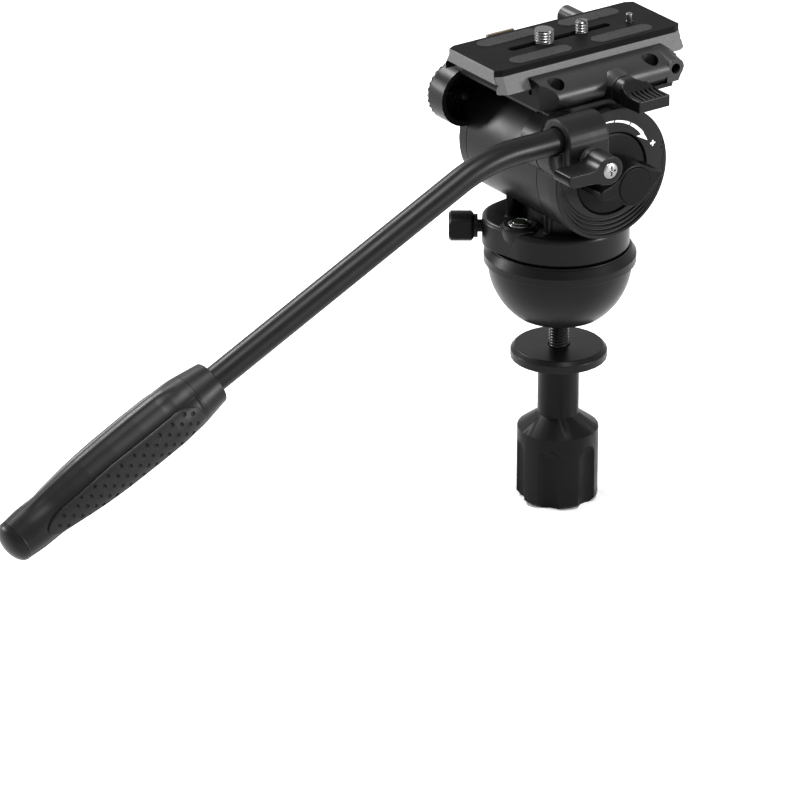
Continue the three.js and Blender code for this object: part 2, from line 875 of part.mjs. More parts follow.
function makeSideScrew(y) {
  const seat = platformTop - sideScrewHeadHeight;
  const top = platformTop - fitGap;
  return join(
    rodZ(sideScrewHead, seat, top, sideScrewX, y, tinySides),
    rodZ(sideScrewRadius, seat - sideScrewLength, top, sideScrewX, y, tinySides),
  );
}

function makeAxle() {
  const start = leftPlateOuter + axleEndGap;
  const end = rightPlateOuter - axleEndGap;
  const axle = rodX(axleRadius, start, end, 0, 0, smallSides);
  return cut(axle, rodX(stemRadius + runGap, wingInner - stemLength - runGap, end + overrun, 0, 0,
    tinySides));
}

function makeDialRing() {
  const body = turnedX([
    [dialBore, dialInner],
    [dialRadius, dialInner],
    [dialRadius, dialOuter - dialEdge],
    [dialRadius - dialEdge, dialOuter],
    [dialBore, dialOuter],
    [dialBore, dialInner],
  ], drumSides);
  return cut(body, rodX(rosetteRadius + fitGap, dialInner - overrun, dialOuter + overrun, rosetteY,
    rosetteZ));
}

// Drag dial, wing knob on its stem, and cap, turning on the tilt axis

function makeDragDial() {
  const bore = stemRadius + fitGap;
  const outer = dialBore - runGap;
  return turnedX([
    [bore, dialInner],
    [outer, dialInner],
    [outer, dragDialOuter - dragDialEdge],
    [outer - dragDialEdge, dragDialOuter],
    [bore, dragDialOuter],
    [bore, dialInner],
  ]);
}

function makeWingKnob() {
  const heel = wingHub * wingHeelShare;
  const flank = Math.sqrt(wingHub ** 2 - heel ** 2);
  const wings = polygon([
    [-wingReachRear, -wingTip],
    [-flank, -heel],
    [flank, -heel],
    [wingReachFront, -wingTip],
    [wingReachFront, wingTip],
    [flank, heel],
    [-flank, heel],
    [-wingReachRear, wingTip],
  ]);
  const body = join(
    prismX(wings, wingInner, wingOuter),
    rodX(wingHub, wingInner, wingOuter),
    rodX(stemRadius, wingInner - stemLength, wingInner + capDepth, 0, 0, tinySides),
  );
  return cut(body, rodX(capRadius + fitGap, wingOuter - capDepth, wingOuter + overrun));
}

// Plate clamp with its screws, jaw, lever and catch

function slopeX(z) {
  const share = (plateShoulder - z) / plateSlope;
  return plateTopHalf + (plateFootHalf - plateTopHalf) * share;
}

function clampScrewPlaces() {
  return [
    ["clamp_screw_right_rear", clampScrewX, -clampScrewY],
    ["clamp_screw_right_front", clampScrewX, clampScrewY],
    ["clamp_screw_left_rear", -clampScrewX, -clampScrewY],
    ["clamp_screw_left_front", -clampScrewX, clampScrewY],
  ];
}

// The channel that the plate slides in, between the lips of the clamp's two walls
function clampChannel(outline) {
  const lipZ = platformTop + clampHeight;
  const groove = slopeX(plateBottom) + slideGap;
  outline.lineTo(slopeX(lipZ) + slideGap, lipZ);
  outline.lineTo(groove, plateBottom);
  outline.lineTo(groove, plateBottom - grooveDepth);
  outline.lineTo(landHalf, plateBottom - grooveDepth);
  outline.lineTo(landHalf, plateBottom - runGap);
  outline.lineTo(-landHalf, plateBottom - runGap);
  outline.lineTo(-landHalf, plateBottom - grooveDepth);
  outline.lineTo(-groove, plateBottom - grooveDepth);
  outline.lineTo(-groove, plateBottom);
  outline.lineTo(-slopeX(lipZ) - slideGap, lipZ);
  outline.lineTo(-clampLip, lipZ);
}

function clampSection() {
  const lipZ = platformTop + clampHeight;
  const lowZ = platformTop + clampHeight * clampBulgeLowShare;
  const highZ = platformTop + clampHeight * clampBulgeHighShare;
  const outline = new THREE.Shape();
  outline.moveTo(-clampFoot, platformTop);
  outline.lineTo(clampFoot, platformTop);
  outline.bezierCurveTo(clampBulge, lowZ, clampBulge, highZ, clampLip, lipZ);
  clampChannel(outline);
  outline.bezierCurveTo(-clampBulge, highZ, -clampBulge, lowZ, -clampFoot, platformTop);
  return outline;
}

// The front end of the clamp is narrower, its top edge cut off at a slope.
function makeNose() {
  const lipZ = platformTop + clampHeight;
  const noseZ = platformTop + noseHeight;
  const outline = new THREE.Shape();
  outline.moveTo(-noseHalf, platformTop);
  outline.lineTo(noseHalf, platformTop);
  outline.lineTo(noseHalf, noseZ);
  outline.lineTo(clampLip, lipZ);
  clampChannel(outline);
  outline.lineTo(-noseHalf, noseZ);
  outline.closePath();
  const slope = polygon([
    [noseFront + overrun, noseZ - overrun],
    [noseFront + overrun, lipZ + overrun],
    [noseFront - noseSlope - overrun, lipZ + overrun],
  ]);
  return cut(prismY(outline, clampFront - overrun, noseFront), prismX(slope, -noseHalf - overrun,
    noseHalf + overrun));
}

function accessoryLug(x0, x1) {
  const z = platformTop + accessoryZ;
  const outline = new THREE.Shape();
  outline.moveTo(accessoryY - accessoryRadius, platformTop);
  outline.lineTo(accessoryY + accessoryRadius - accessorySlope, platformTop);
  outline.lineTo(accessoryY + accessoryRadius, z);
  outline.absarc(accessoryY, z, accessoryRadius, 0, Math.PI, false);
  outline.closePath();
  return prismX(outline, x0, x1);
}

function makeClampBody() {
  const lugZ = platformTop + accessoryZ;
  const pivotZ = platformTop + leverZ;
  const leverBoss = cut(
    rodX(leverBossRadius, landHalf + overrun + jawThickness, leverBossOuter, leverY, pivotZ),
    block(0, leverBossOuter + overrun, clampRear, clampFront, platformBottom - overrun, platformTop),
  );
  const body = join(
    prismY(clampSection(), clampRear, clampFront),
    makeNose(),
    accessoryLug(accessoryRoot, accessoryRight),
    rodX(accessoryRadius, accessoryLeft, -accessoryRoot, accessoryY, lugZ, smallSides),
    leverBoss,
  );
  const jawOuter = slopeX(plateBottom) + fitGap + jawThickness + jawTravel + fitGap;
  const jawZ = platformTop + jawBottom - fitGap;
  const tools = [
    rodX(accessoryHole, accessoryRight - accessoryHoleDepth, accessoryRight + overrun, accessoryY, lugZ,
      smallSides),
    rodX(accessoryHole, accessoryLeft - overrun, accessoryLeft + accessoryHoleDepth, accessoryY, lugZ,
      smallSides),
    rodX(leverShaftRadius + runGap, landHalf, leverBossOuter + overrun, leverY, pivotZ, smallSides),
    block(landHalf - overrun, jawOuter, leverY - jawHalf - fitGap, leverY + jawHalf + fitGap, jawZ,
      jawZ + jawHeight + fitGap + fitGap),
    block(catchX - catchThickness / 2 - fitGap, catchX + catchThickness / 2 + fitGap, catchRear - fitGap,
      catchFront + fitGap, platformTop + catchFloor, platformTop + clampHeight + overrun),
  ];
  clampScrewPlaces().forEach(([, x, y]) => {
    const seat = platformTop + clampScrewSeat;
    tools.push(rodZ(clampScrewBore, seat, platformTop + clampHeight + overrun, x, y, smallSides));
    tools.push(rodZ(clampScrewRadius + fitGap, platformTop - overrun, seat + overrun, x, y, tinySides));
  });
  [-1, 1].forEach((hand) => {
    const corner = polygon([
      [hand * (clampFoot + overrun), clampRear - overrun],
      [hand * (clampFoot + overrun), clampRear + clampChamfer + overrun],
      [hand * (clampFoot - clampChamfer - overrun), clampRear - overrun],
    ]);
    tools.push(prismZ(corner, platformTop - overrun, platformTop + clampHeight + overrun));
  });
  return cut(body, ...tools);
}

function makeClampScrew(x, y) {
  const seat = platformTop + clampScrewSeat;
  return join(
    rodZ(clampScrewHead, seat, seat + clampScrewHeadHeight, x, y, smallSides),
    rodZ(clampScrewRadius, platformTop - clampScrewTip, seat + clampScrewHeadHeight, x, y, tinySides),
  );
}

function makeJaw() {
  const bottom = platformTop + jawBottom;
  const top = bottom + jawHeight;
  const foot = slopeX(plateBottom) + fitGap;
  const outline = polygon([
    [foot, bottom],
    [foot + jawThickness, bottom],
    [foot + jawThickness, top],
    [slopeX(top) + fitGap, top],
    [foot, plateBottom],
  ]);
  return prismY(outline, leverY - jawHalf, leverY + jawHalf);
}

function makePlateLever() {
  const inner = leverBossOuter + runGap;
  const outer = inner + leverLength;
  const shaftStart = slopeX(plateBottom) + fitGap + jawThickness + jawTravel + fitGap;
  const outline = [[paddleFront, paddleBottom], [paddleFront, paddleTop]];
  for (let i = 0; i < paddleRibCount; i++) {
    const y = paddleFront - paddleRibPitch * (i + 1);
    outline.push([y + paddleRibWidth, paddleTop], [y + paddleRibWidth, paddleTop + paddleRibHeight]);
    outline.push([y, paddleTop + paddleRibHeight], [y, paddleTop]);
  }
  outline.push([paddleRear, paddleTop], [paddleRear, paddleBottom]);
  const hub = turnedX([
    [0, inner],
    [leverHubRadius, inner],
    [leverHubRadius, inner + leverHubLength],
    [leverNeckRadius, inner + leverHubLength + leverNeckLength],
    [0, inner + leverHubLength + leverNeckLength],
  ], smallSides);
  return join(
    hub,
    prismX(polygon(outline), inner + paddleStart, outer),
    rodX(leverShaftRadius, shaftStart, inner + leverHubLength, 0, 0, smallSides),
  );
}

function makeCatch() {
  const bottom = platformTop + catchFloor + catchTravel + runGap;
  return block(catchX - catchThickness / 2, catchX + catchThickness / 2, catchRear, catchFront, bottom,
    platformTop + clampHeight);
}

// Camera plate

function plateOutline(half) {
  return [
    [half - plateChamferWidth, plateRear],
    [half, plateRear + plateChamferLength],
    [half, plateFront - plateChamferLength],
    [half - plateChamferWidth, plateFront],
    [plateChamferWidth - half, plateFront],
    [-half, plateFront - plateChamferLength],
    [-half, plateRear + plateChamferLength],
    [plateChamferWidth - half, plateRear],
  ];
}

function padPlaces() {
  return [
    ["plate_pad_right_rear", padX, padRearY],
    ["plate_pad_right_front", padX, padFrontY],
    ["plate_pad_left_rear", -padX, padRearY],
    ["plate_pad_left_front", -padX, padFrontY],
  ];
}

function makePlate() {
  const band = plateOutline(plateTopHalf);
  const foot = plateOutline(plateFootHalf);
  const body = join(loft(band, plateShoulder, band, plateTop), loft(foot, plateBottom, band, plateShoulder));
  const underside = plateTop - plateWeb;
  const pinBore = plateTop - pinShoulder;
  const tools = [
    block(-plateLegInner, plateLegInner, plateRear - overrun, plateFront + overrun, plateBottom - overrun,
      underside),
    prismZ(stadium(0, slotRear, slotFront, slotHalf), underside - overrun, plateTop + overrun),
    rodZ(pinRadius + runGap, underside - overrun, plateTop + overrun, pinX, pinY, tinySides),
    rodZ(pinFlangeRadius + runGap, underside - overrun, pinBore, pinX, pinY, tinySides),
  ];
  padPlaces().forEach(([, x, y]) => {
    const half = padHalf + fitGap;
    const reach = padLength / 2 + fitGap;
    tools.push(prismZ(stadium(x, y - reach, y + reach, half), plateTop - padSink, plateTop + overrun));
  });
  return cut(body, ...tools);
}

function makePad(x, y) {
  const outline = stadium(x, y - padLength / 2, y + padLength / 2, padHalf);
  return prismZ(outline, plateTop - padSink, plateTop + padProud);
}

function screwHeadTop() {
  return plateTop - plateWeb - screwCollarThickness - fitGap - fitGap;
}

function makeCameraScrew(radius, rise) {
  const headTop = screwHeadTop();
  const threadStart = plateTop + screwNeckRise;
  const top = plateTop + rise;
  const root = radius - threadDepth;
  const turns = Math.floor((top - threadStart) / threadPitch);
  const profile = [
    [0, headTop - screwHeadHeight],
    [screwHeadRadius, headTop - screwHeadHeight],
    [screwHeadRadius, headTop],
    [screwNeckRadius, headTop],
    [screwNeckRadius, threadStart],
    [root, threadStart],
  ];
  for (let i = 0; i < turns; i++) {
    profile.push([radius, threadStart + threadPitch * (i + 1 / 2)]);
    profile.push([root, threadStart + threadPitch * (i + 1)]);
  }
  profile.push([root, top], [0, top]);
  return turnedZ(profile, smallSides);
}

function makeScrewCollar() {
  const top = plateTop - plateWeb - fitGap;
  return turnedZ(ring(screwNeckRadius + fitGap, screwHeadRadius, top - screwCollarThickness, top),
    smallSides);
}

function makePin() {
  const flangeTop = plateTop - pinShoulder - fitGap;
  const top = plateTop + pinRise;
  return turnedZ([
    [0, flangeTop - pinFlangeThickness],
    [pinFlangeRadius, flangeTop - pinFlangeThickness],
    [pinFlangeRadius, flangeTop],
    [pinRadius, flangeTop],
    [pinRadius, top - pinDome],
    [pinRadius - pinDome, top],
    [0, top],
  ], tinySides);
}

// Handle, in a group on the rosette's axis

function makeArm() {
  const waist = rosetteRadius - armGrooveDepth;
  const half = (socketFront - socketRear) / 2;
  const outline = new THREE.Shape();
  outline.moveTo(socketFront, socketRise);
  outline.lineTo(socketRear, socketRise);
  outline.absarc(socketRear + half, 0, half, Math.PI, 2 * Math.PI, false);
  outline.closePath();
  const body = join(
    rodX(rosetteRadius, armInner, armGrooveStart),
    rodX(waist, armInner, armOuterStart + overrun),
    prismX(outline, armOuterStart, armOuter),
    rodY(socketRadius, socketRear, socketFront, socketX, socketRise),
    block(socketX - socketRadius, socketX + socketRadius, socketRear, socketFront, 0, socketRise),
  );
  const bore = tubeRadius + fitGap;
  const seat = socketRear + tubeEngagement + fitGap;
  return cut(
    body,
    rodY(bore, -rosetteRadius - overrun, seat, socketX, socketRise),
    rodY(spigotRadius + fitGap, seat - overrun, seat + spigotLength, socketX, socketRise, smallSides),
    rodX(boltRadius + runGap, armInner - overrun, armOuter + overrun, 0, 0, smallSides),
  );
}

function makeTube() {
  const drop = THREE.MathUtils.degToRad(tubeDrop);
  const start = new THREE.Vector3(socketX, socketRear + tubeEngagement, socketRise);
  const corner = new THREE.Vector3(socketX, -tubeCorner, socketRise);
  const fall = new THREE.Vector3(0, -Math.cos(drop), -Math.sin(drop));
  const bendStart = corner.clone().add(new THREE.Vector3(0, tubeBend, 0));
  const bendEnd = corner.clone().addScaledVector(fall, tubeBend);
  const end = corner.clone().addScaledVector(fall, tubeFall + tubeInGrip);
  const extrudePath = new THREE.CurvePath();
  extrudePath.add(new THREE.LineCurve3(start, bendStart));
  extrudePath.add(new THREE.QuadraticBezierCurve3(bendStart, corner, bendEnd));
  extrudePath.add(new THREE.LineCurve3(bendEnd, end));
  const section = new THREE.Shape().absarc(0, 0, tubeRadius, 0, 2 * Math.PI, false);
  const settings = {
    steps: tubeSteps,
    curveSegments: tubeHalfSides,
    bevelEnabled: false,
    extrudePath,
  };
  const tube = new THREE.ExtrudeGeometry(section, settings);
  const spigot = rodY(spigotRadius, start.y - overrun, start.y + spigotLength, socketX, socketRise,
    smallSides);
  return join(tube, spigot);
}

// Grip pieces, turned about +Z from the front of the collar

function gripProfile() {
  const at = (share) => gripStart + gripLength * share;
  return [
    [0, gripStart],
    [collarRadius, gripStart],
    [gripSwell, at(gripSwellStartShare)],
    [gripSwell, at(gripSwellEndShare)],
    [gripSwell * gripWaistRadiusShare, at(gripWaistShare)],
    [gripTail, gripEnd],
    [0, gripEnd],
  ];
}

function makeCollar() {
  const bore = tubeRadius + fitGap;
  return turnedZ([
    [bore, 0],
    [collarNose, 0],
    [collarRadius, collarLength],
    [bore, collarLength],
    [bore, 0],
  ]);
}

function panelOutline(growth) {
  return stadium(0, gripStart + panelStart - growth, gripEnd - panelEnd + growth, panelHalf + growth);
}

function makeGrip() {
  const body = turnedZ(gripProfile());
  const far = gripSwell + overrun;
  const plane = panelPlane - fitGap;
  return cut(
    body,
    rodZ(tubeRadius + fitGap, gripStart - overrun, tubeInGrip + fitGap),
    prismX(panelOutline(fitGap), plane, far),
    prismX(panelOutline(fitGap), -far, -plane),
  );
}

function makePanel(hand) {
  const far = gripSwell + overrun;
  const body = turnedZ(gripProfile());
  const x0 = hand > 0 ? panelPlane : -far;
  const x1 = hand > 0 ? far : -panelPlane;
  return common(body, prismX(panelOutline(0), x0, x1));
}

function makeGripCap() {
  const start = gripEnd + fitGap;
  const profile = [[0, start], [gripTail, start]];
  for (let i = 1; i < curveSteps; i++) {
    const angle = (Math.PI * i) / (2 * curveSteps);
    profile.push([gripTail * Math.cos(angle), start + gripCapLength * Math.sin(angle)]);
  }
  profile.push([0, start + gripCapLength]);
  return turnedZ(profile);
}

// Handle lock

function makeLockLever() {
  const outline = new THREE.Shape();
  outline.moveTo(0, -lockLeverHub);
  outline.lineTo(-lockLeverReach, -lockLeverDrop - lockLeverTip / 2);
  outline.lineTo(-lockLeverReach, -lockLeverDrop + lockLeverTip / 2);
  outline.lineTo(0, lockLeverHub);
  outline.closePath();
  return cut(
    join(prismX(outline, lockLeverInner, lockLeverOuter), rodX(lockLeverHub, lockLeverInner, lockLeverOuter)),
    rodX(lockScrewHead + fitGap, lockLeverOuter - lockScrewSink, lockLeverOuter + overrun, 0, 0, smallSides),
    rodX(boltRadius + fitGap, lockLeverInner - overrun, lockLeverOuter - lockScrewSink - lockScrewHead, 0, 0,
      smallSides),
  );
}

function makeLockScrewHead() {
  const seat = lockLeverOuter - lockScrewSink;
  const top = lockLeverOuter + lockScrewRise;
  const head = turnedX([
    [0, seat],
    [lockScrewHead, seat],
    [lockScrewHead, lockLeverOuter],
    [lockScrewHead - lockScrewRise, top],
    [0, top],
  ], smallSides);
  const reach = lockScrewHead - lockScrewSink;
  const half = crossWidth / 2;
  return cut(
    head,
    block(top - crossDepth, top + overrun, -reach, reach, -half, half),
    block(top - crossDepth, top + overrun, -half, half, -reach, reach),
  );
}

// Assembly

const head = new THREE.Group();
head.name = "fluid_video_head";

const base = group(head);
piece(base, "half_ball", makeHalfBall(), blackAnodised());
piece(base, "tie_down_stud", rodZ(studRadius, studBottom, studTop, 0, 0, smallSides), steel());
piece(base, "pan_spindle", makeSpindle(), steel());
piece(base, "clamp_cup", makeClampCup(), blackAnodised());
piece(base, "tie_down_knob", makeTieDownKnob(), blackPlastic());

const pan = group(head);
piece(base, "pan_nut", makePanNut(), steel());
piece(base, "pan_friction_ring", turnedZ(ring(frictionInner, frictionOuter, frictionBottom, frictionTop),
  hiddenSides), bronze());
piece(pan, "pan_housing", makePanHousing(), blackAnodised());
piece(pan, "pan_bush", makePanBush(), bronze());
piece(pan, "drum_housing", makeDrumHousing(), blackAnodised());
const level = group(pan, levelX, levelY, 0);
piece(level, "level_vial", makeLevelVial(), white());
piece(level, "level_bezel", turnedZ(ring(levelRadius + fitGap, levelRadius + fitGap + levelWall, housingTop,
  housingTop + levelRise), smallSides), blackAnodised());

const panLock = group(pan, 0, 0, lockZ);
panLock.rotation.z = THREE.MathUtils.degToRad(lockAngle);
piece(panLock, "pan_brake_shoe", rodY(shoeRadius, -shoeEnd, -shoeStart, 0, 0, smallSides), brass());
piece(panLock, "pan_lock_knob", makeLockKnob(), blackPlastic());

const drum = group(pan, 0, 0, tiltHeight);
const bushInner = axleRadius + runGap;
const bushOuter = bushInner + bushWall;
const discInner = axleRadius + fitGap;
const fixedOuter = drumRadius - drumWall - fitGap;
const discStep = discThickness + runGap;
const coverInner = drumRight - drumWall;
piece(drum, "drum_cover", makeDrumCover(), blackAnodised());
piece(drum, "tilt_bush_left", turnedX(ring(bushInner, bushOuter, drumLeft, drumLeft + drumWall),
  smallSides), bronze());
piece(drum, "tilt_bush_right", turnedX(ring(bushInner, bushOuter, coverInner, drumRight), smallSides),
  bronze());
piece(drum, "drag_disc_fixed", turnedX(ring(bushOuter, fixedOuter, discStart, discStart + discThickness),
  hiddenSides), steel());

const tilt = group(head, 0, 0, tiltHeight);
piece(tilt, "tilt_frame", makeTiltFrame(), blackAnodised());
piece(tilt, "left_side_plate", makeLeftSidePlate(), blackAnodised());
piece(tilt, "side_plate_screw_rear", makeSideScrew(-sideScrewY), steel());
piece(tilt, "side_plate_screw_front", makeSideScrew(sideScrewY), steel());
piece(tilt, "axle_cover", turnedX([
  [0, leftPlateOuter - fitGap - axleCoverThickness],
  [axleCoverRadius, leftPlateOuter - fitGap - axleCoverThickness],
  [axleCoverRadius, leftPlateOuter - fitGap],
  [0, leftPlateOuter - fitGap],
]), blackAnodised());
piece(tilt, "tilt_axle", makeAxle(), steel());
piece(tilt, "drag_disc_turning", turnedX(ring(discInner, discOuter, discStart + discStep,
  discStart + discStep + discThickness), hiddenSides), steel());
piece(tilt, "counterbalance_spring", coil(springRadius, springWire, springPitch, springTurns)
  .translate(springStart, 0, 0), steel());
piece(tilt, "dial_ring", makeDialRing(), blackAnodised());
piece(tilt, "rosette_insert", turnedX(ring(boltRadius + runGap, insertRadius, lobeOuter - insertThickness,
  lobeOuter), smallSides).translate(0, rosetteY, rosetteZ), steel());
piece(tilt, "clamp_body", makeClampBody(), blackAnodised());
clampScrewPlaces().forEach(([name, x, y]) => {
  piece(tilt, name, makeClampScrew(x, y), chrome());
});
piece(tilt, "clamp_jaw", makeJaw(), steel());
piece(tilt, "safety_catch", makeCatch(), brass());

const lever = group(tilt, 0, leverY, platformTop + leverZ);
piece(lever, "plate_lock_lever", makePlateLever(), blackPlastic());

const drag = group(tilt);
drag.rotation.x = THREE.MathUtils.degToRad(wingTurn);
piece(drag, "drag_dial", makeDragDial(), blackAnodised());
piece(drag, "drag_wing_knob", makeWingKnob(), blackPlastic());
piece(drag, "drag_knob_cap", rodX(capRadius, wingOuter - capDepth + fitGap, wingOuter + capProud),
  blackPlastic());

const plate = group(tilt);
piece(plate, "camera_plate", makePlate(), sandblasted());
padPlaces().forEach(([name, x, y]) => {
  piece(plate, name, makePad(x, y), padRubber());
});
cameraScrews.forEach(([name, y, radius, rise]) => {
  const carrier = group(plate, 0, y, 0);
  piece(carrier, name + "_screw", makeCameraScrew(radius, rise), chrome());
  piece(carrier, name + "_collar", makeScrewCollar(), steel());
});
const pin = group(plate, pinX, pinY, 0);
piece(pin, "alignment_pin", makePin(), chrome());

const handle = group(tilt, 0, rosetteY, rosetteZ);
piece(handle, "handle_arm", makeArm(), blackAnodised());
piece(handle, "handle_tube", makeTube(), blackAnodised());

const gripGroup = group(handle, socketX, 0, socketRise);
const gripDrop = THREE.MathUtils.degToRad(tubeDrop);
gripGroup.position.y = -tubeCorner - tubeFall * Math.cos(gripDrop);
gripGroup.position.z = socketRise - tubeFall * Math.sin(gripDrop);
gripGroup.rotation.x = Math.PI / 2 + gripDrop;
piece(gripGroup, "handle_collar", makeCollar(), blackPlastic());
piece(gripGroup, "handle_grip", makeGrip(), gripRubber());
piece(gripGroup, "grip_panel_right", makePanel(1), gripRubber());
piece(gripGroup, "grip_panel_left", makePanel(-1), gripRubber());
piece(gripGroup, "grip_end_cap", makeGripCap(), blackPlastic());

const lock = group(handle);
const boltEnd = lockLeverOuter - lockScrewSink - lockScrewHead - fitGap;
piece(lock, "handle_lock_lever", makeLockLever(), blackPlastic());
piece(lock, "handle_lock_screw", makeLockScrewHead(), chrome());
piece(lock, "handle_lock_washer", turnedX(ring(boltRadius + fitGap, washerRadius, washerInner,
  washerInner + washerThickness), smallSides), steel());
piece(lock, "handle_lock_bolt", rodX(boltRadius, rightPlateInner + lobeRoot, boltEnd, 0, 0, smallSides),
  steel());

export default head;
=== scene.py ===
import math

import bpy
from mathutils import Matrix, Vector


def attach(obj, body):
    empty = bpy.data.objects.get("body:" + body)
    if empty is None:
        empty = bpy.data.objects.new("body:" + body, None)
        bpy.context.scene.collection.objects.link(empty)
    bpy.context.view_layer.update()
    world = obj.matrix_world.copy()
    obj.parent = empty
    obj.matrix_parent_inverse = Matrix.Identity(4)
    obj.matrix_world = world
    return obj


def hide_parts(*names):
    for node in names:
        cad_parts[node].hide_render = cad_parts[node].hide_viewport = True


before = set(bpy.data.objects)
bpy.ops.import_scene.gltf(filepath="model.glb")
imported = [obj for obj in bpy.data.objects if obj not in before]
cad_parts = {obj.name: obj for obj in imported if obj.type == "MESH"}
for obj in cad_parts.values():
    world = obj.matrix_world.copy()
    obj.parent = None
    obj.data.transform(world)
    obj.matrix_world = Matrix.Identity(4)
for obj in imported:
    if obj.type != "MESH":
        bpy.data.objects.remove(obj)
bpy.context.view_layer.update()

# Camera, studio light and floor
# The photograph's viewing angle from the operator's side, four soft boxes (left, behind, right and
# above) that draw its highlights, and a plain white floor under the tie-down knob.
camera_data = bpy.data.cameras.new("camera")
camera_data.lens = 255.76
camera_data.sensor_width = 36
camera_data.clip_start = 0.1
camera_data.clip_end = 50
camera = bpy.data.objects.new("camera", camera_data)
bpy.context.scene.collection.objects.link(camera)
camera_right = Vector((0.5748, 0.8183, 0))
camera_up = Vector((-0.34171, 0.24002, 0.90865))
camera_back = Vector((0.74354, -0.52229, 0.41758))
turn = Matrix((camera_right, camera_up, camera_back)).transposed()
camera.matrix_world = Matrix.Translation((2.0451, -1.5321, 1.0980)) @ turn.to_4x4()
bpy.context.scene.camera = camera
bpy.context.scene.view_settings.view_transform = "Standard"


def soft_box(name, place, size, power):
    """A rectangular lamp, in metres and watts, that faces the middle of the head."""
    lamp = bpy.data.lights.new(name, "AREA")
    lamp.shape = "RECTANGLE"
    lamp.size, lamp.size_y = size
    lamp.energy = power
    box = bpy.data.objects.new(name, lamp)
    bpy.context.scene.collection.objects.link(box)
    box.location = place
    box.rotation_mode = "QUATERNION"
    head_middle = Vector((0, -0.1, 0.05))
    box.rotation_quaternion = (Vector(place) - head_middle).to_track_quat("Z", "Y")


soft_box("box_left", (-1.78, -1.66, 0.6), (0.35, 0.6), 55)
soft_box("box_behind", (-1.6, -0.3, 1.6), (0.5, 0.5), 48)
soft_box("box_right", (2.2, 1.33, 0.45), (0.3, 0.7), 80)
soft_box("box_above", (0.7, -0.2, 2.0), (0.3, 0.9), 50)

world = bpy.data.worlds.new("studio")
bpy.context.scene.world = world
world.use_nodes = True
sky = world.node_tree
sky_light = sky.nodes["Background"]
sky_light.inputs["Color"].default_value = (1, 1, 1, 1)
sky_light.inputs["Strength"].default_value = 0.25
sky_seen = sky.nodes.new("ShaderNodeBackground")
sky_seen.inputs["Color"].default_value = (1, 1, 1, 1)
sky_seen.inputs["Strength"].default_value = 1.0
ray = sky.nodes.new("ShaderNodeLightPath")


def either(first, second):
    """One where either of two ray tests is one."""
    larger = sky.nodes.new("ShaderNodeMath")
    larger.operation = "MAXIMUM"
    sky.links.new(first, larger.inputs[0])
    sky.links.new(second, larger.inputs[1])
    return larger.outputs[0]


glossy = either(ray.outputs["Is Glossy Ray"], ray.outputs["Is Transmission Ray"])
seen = either(ray.outputs["Is Camera Ray"], glossy)
sky_mix = sky.nodes.new("ShaderNodeMixShader")
sky.links.new(seen, sky_mix.inputs[0])
sky.links.new(sky_light.outputs[0], sky_mix.inputs[1])
sky.links.new(sky_seen.outputs[0], sky_mix.inputs[2])
sky.links.new(sky_mix.outputs[0], sky.nodes["World Output"].inputs["Surface"])

bpy.ops.object.select_all(action="DESELECT")
bpy.ops.mesh.primitive_plane_add(size=12, location=(0, 0, -0.1281))
floor = bpy.context.object
floor.name = "floor"
floor_paint = bpy.data.materials.new("floor_paint")
floor_paint.use_nodes = True
floor_shader = floor_paint.node_tree.nodes["Principled BSDF"]
floor_shader.inputs["Base Color"].default_value = (0.93, 0.93, 0.93, 1)
floor_shader.inputs["Roughness"].default_value = 0.9
floor.data.materials.append(floor_paint)

# Half ball with its rim
# One aluminium turning, black anodised: the ball sits in the tripod bowl, and the rim over it has a
# chamfered shoulder and a thin raised lip that the housing turns on.
mm = 0.001


def finish(name, colour, roughness, specular, grain, depth, metallic=0.0, mottle=0.25):
    """A metal, plastic, rubber or glass with a fine grain in colour, gloss and relief, in millimetres."""
    gloss_spread = 0.12
    made = bpy.data.materials.new(name)
    made.use_nodes = True
    tree = made.node_tree
    shader = tree.nodes["Principled BSDF"]
    shader.inputs["Metallic"].default_value = metallic
    shader.inputs["Specular IOR Level"].default_value = specular
    place = tree.nodes.new("ShaderNodeTexCoord")
    fine = tree.nodes.new("ShaderNodeTexNoise")
    fine.inputs["Scale"].default_value = 1000 / grain
    fine.inputs["Detail"].default_value = 2
    broad = tree.nodes.new("ShaderNodeTexNoise")
    broad.inputs["Scale"].default_value = 60
    broad.inputs["Detail"].default_value = 4
    tree.links.new(place.outputs["Object"], fine.inputs["Vector"])
    tree.links.new(place.outputs["Object"], broad.inputs["Vector"])
    shade = tree.nodes.new("ShaderNodeValToRGB")
    shade.color_ramp.elements[0].position = 0.3
    shade.color_ramp.elements[1].position = 0.7
    shade.color_ramp.elements[0].color = [c * (1 - mottle) for c in colour] + [1]
    shade.color_ramp.elements[1].color = [c * (1 + mottle) for c in colour] + [1]
    tree.links.new(fine.outputs["Fac"], shade.inputs["Fac"])
    tree.links.new(shade.outputs["Color"], shader.inputs["Base Color"])
    gloss = tree.nodes.new("ShaderNodeMapRange")
    gloss.inputs["From Min"].default_value = 0.3
    gloss.inputs["From Max"].default_value = 0.7
    gloss.inputs["To Min"].default_value = roughness * (1 - gloss_spread)
    gloss.inputs["To Max"].default_value = roughness * (1 + gloss_spread)
    tree.links.new(broad.outputs["Fac"], gloss.inputs["Value"])
    tree.links.new(gloss.outputs["Result"], shader.inputs["Roughness"])
    relief = tree.nodes.new("ShaderNodeBump")
    relief.inputs["Strength"].default_value = 1
    relief.inputs["Distance"].default_value = depth * mm
    tree.links.new(fine.outputs["Fac"], relief.inputs["Height"])
    tree.links.new(relief.outputs["Normal"], shader.inputs["Normal"])
    return made


def pick(piece):
    """Makes a piece the only one selected, and the active one."""
    bpy.ops.object.select_all(action="DESELECT")
    piece.select_set(True)
    bpy.context.view_layer.objects.active = piece


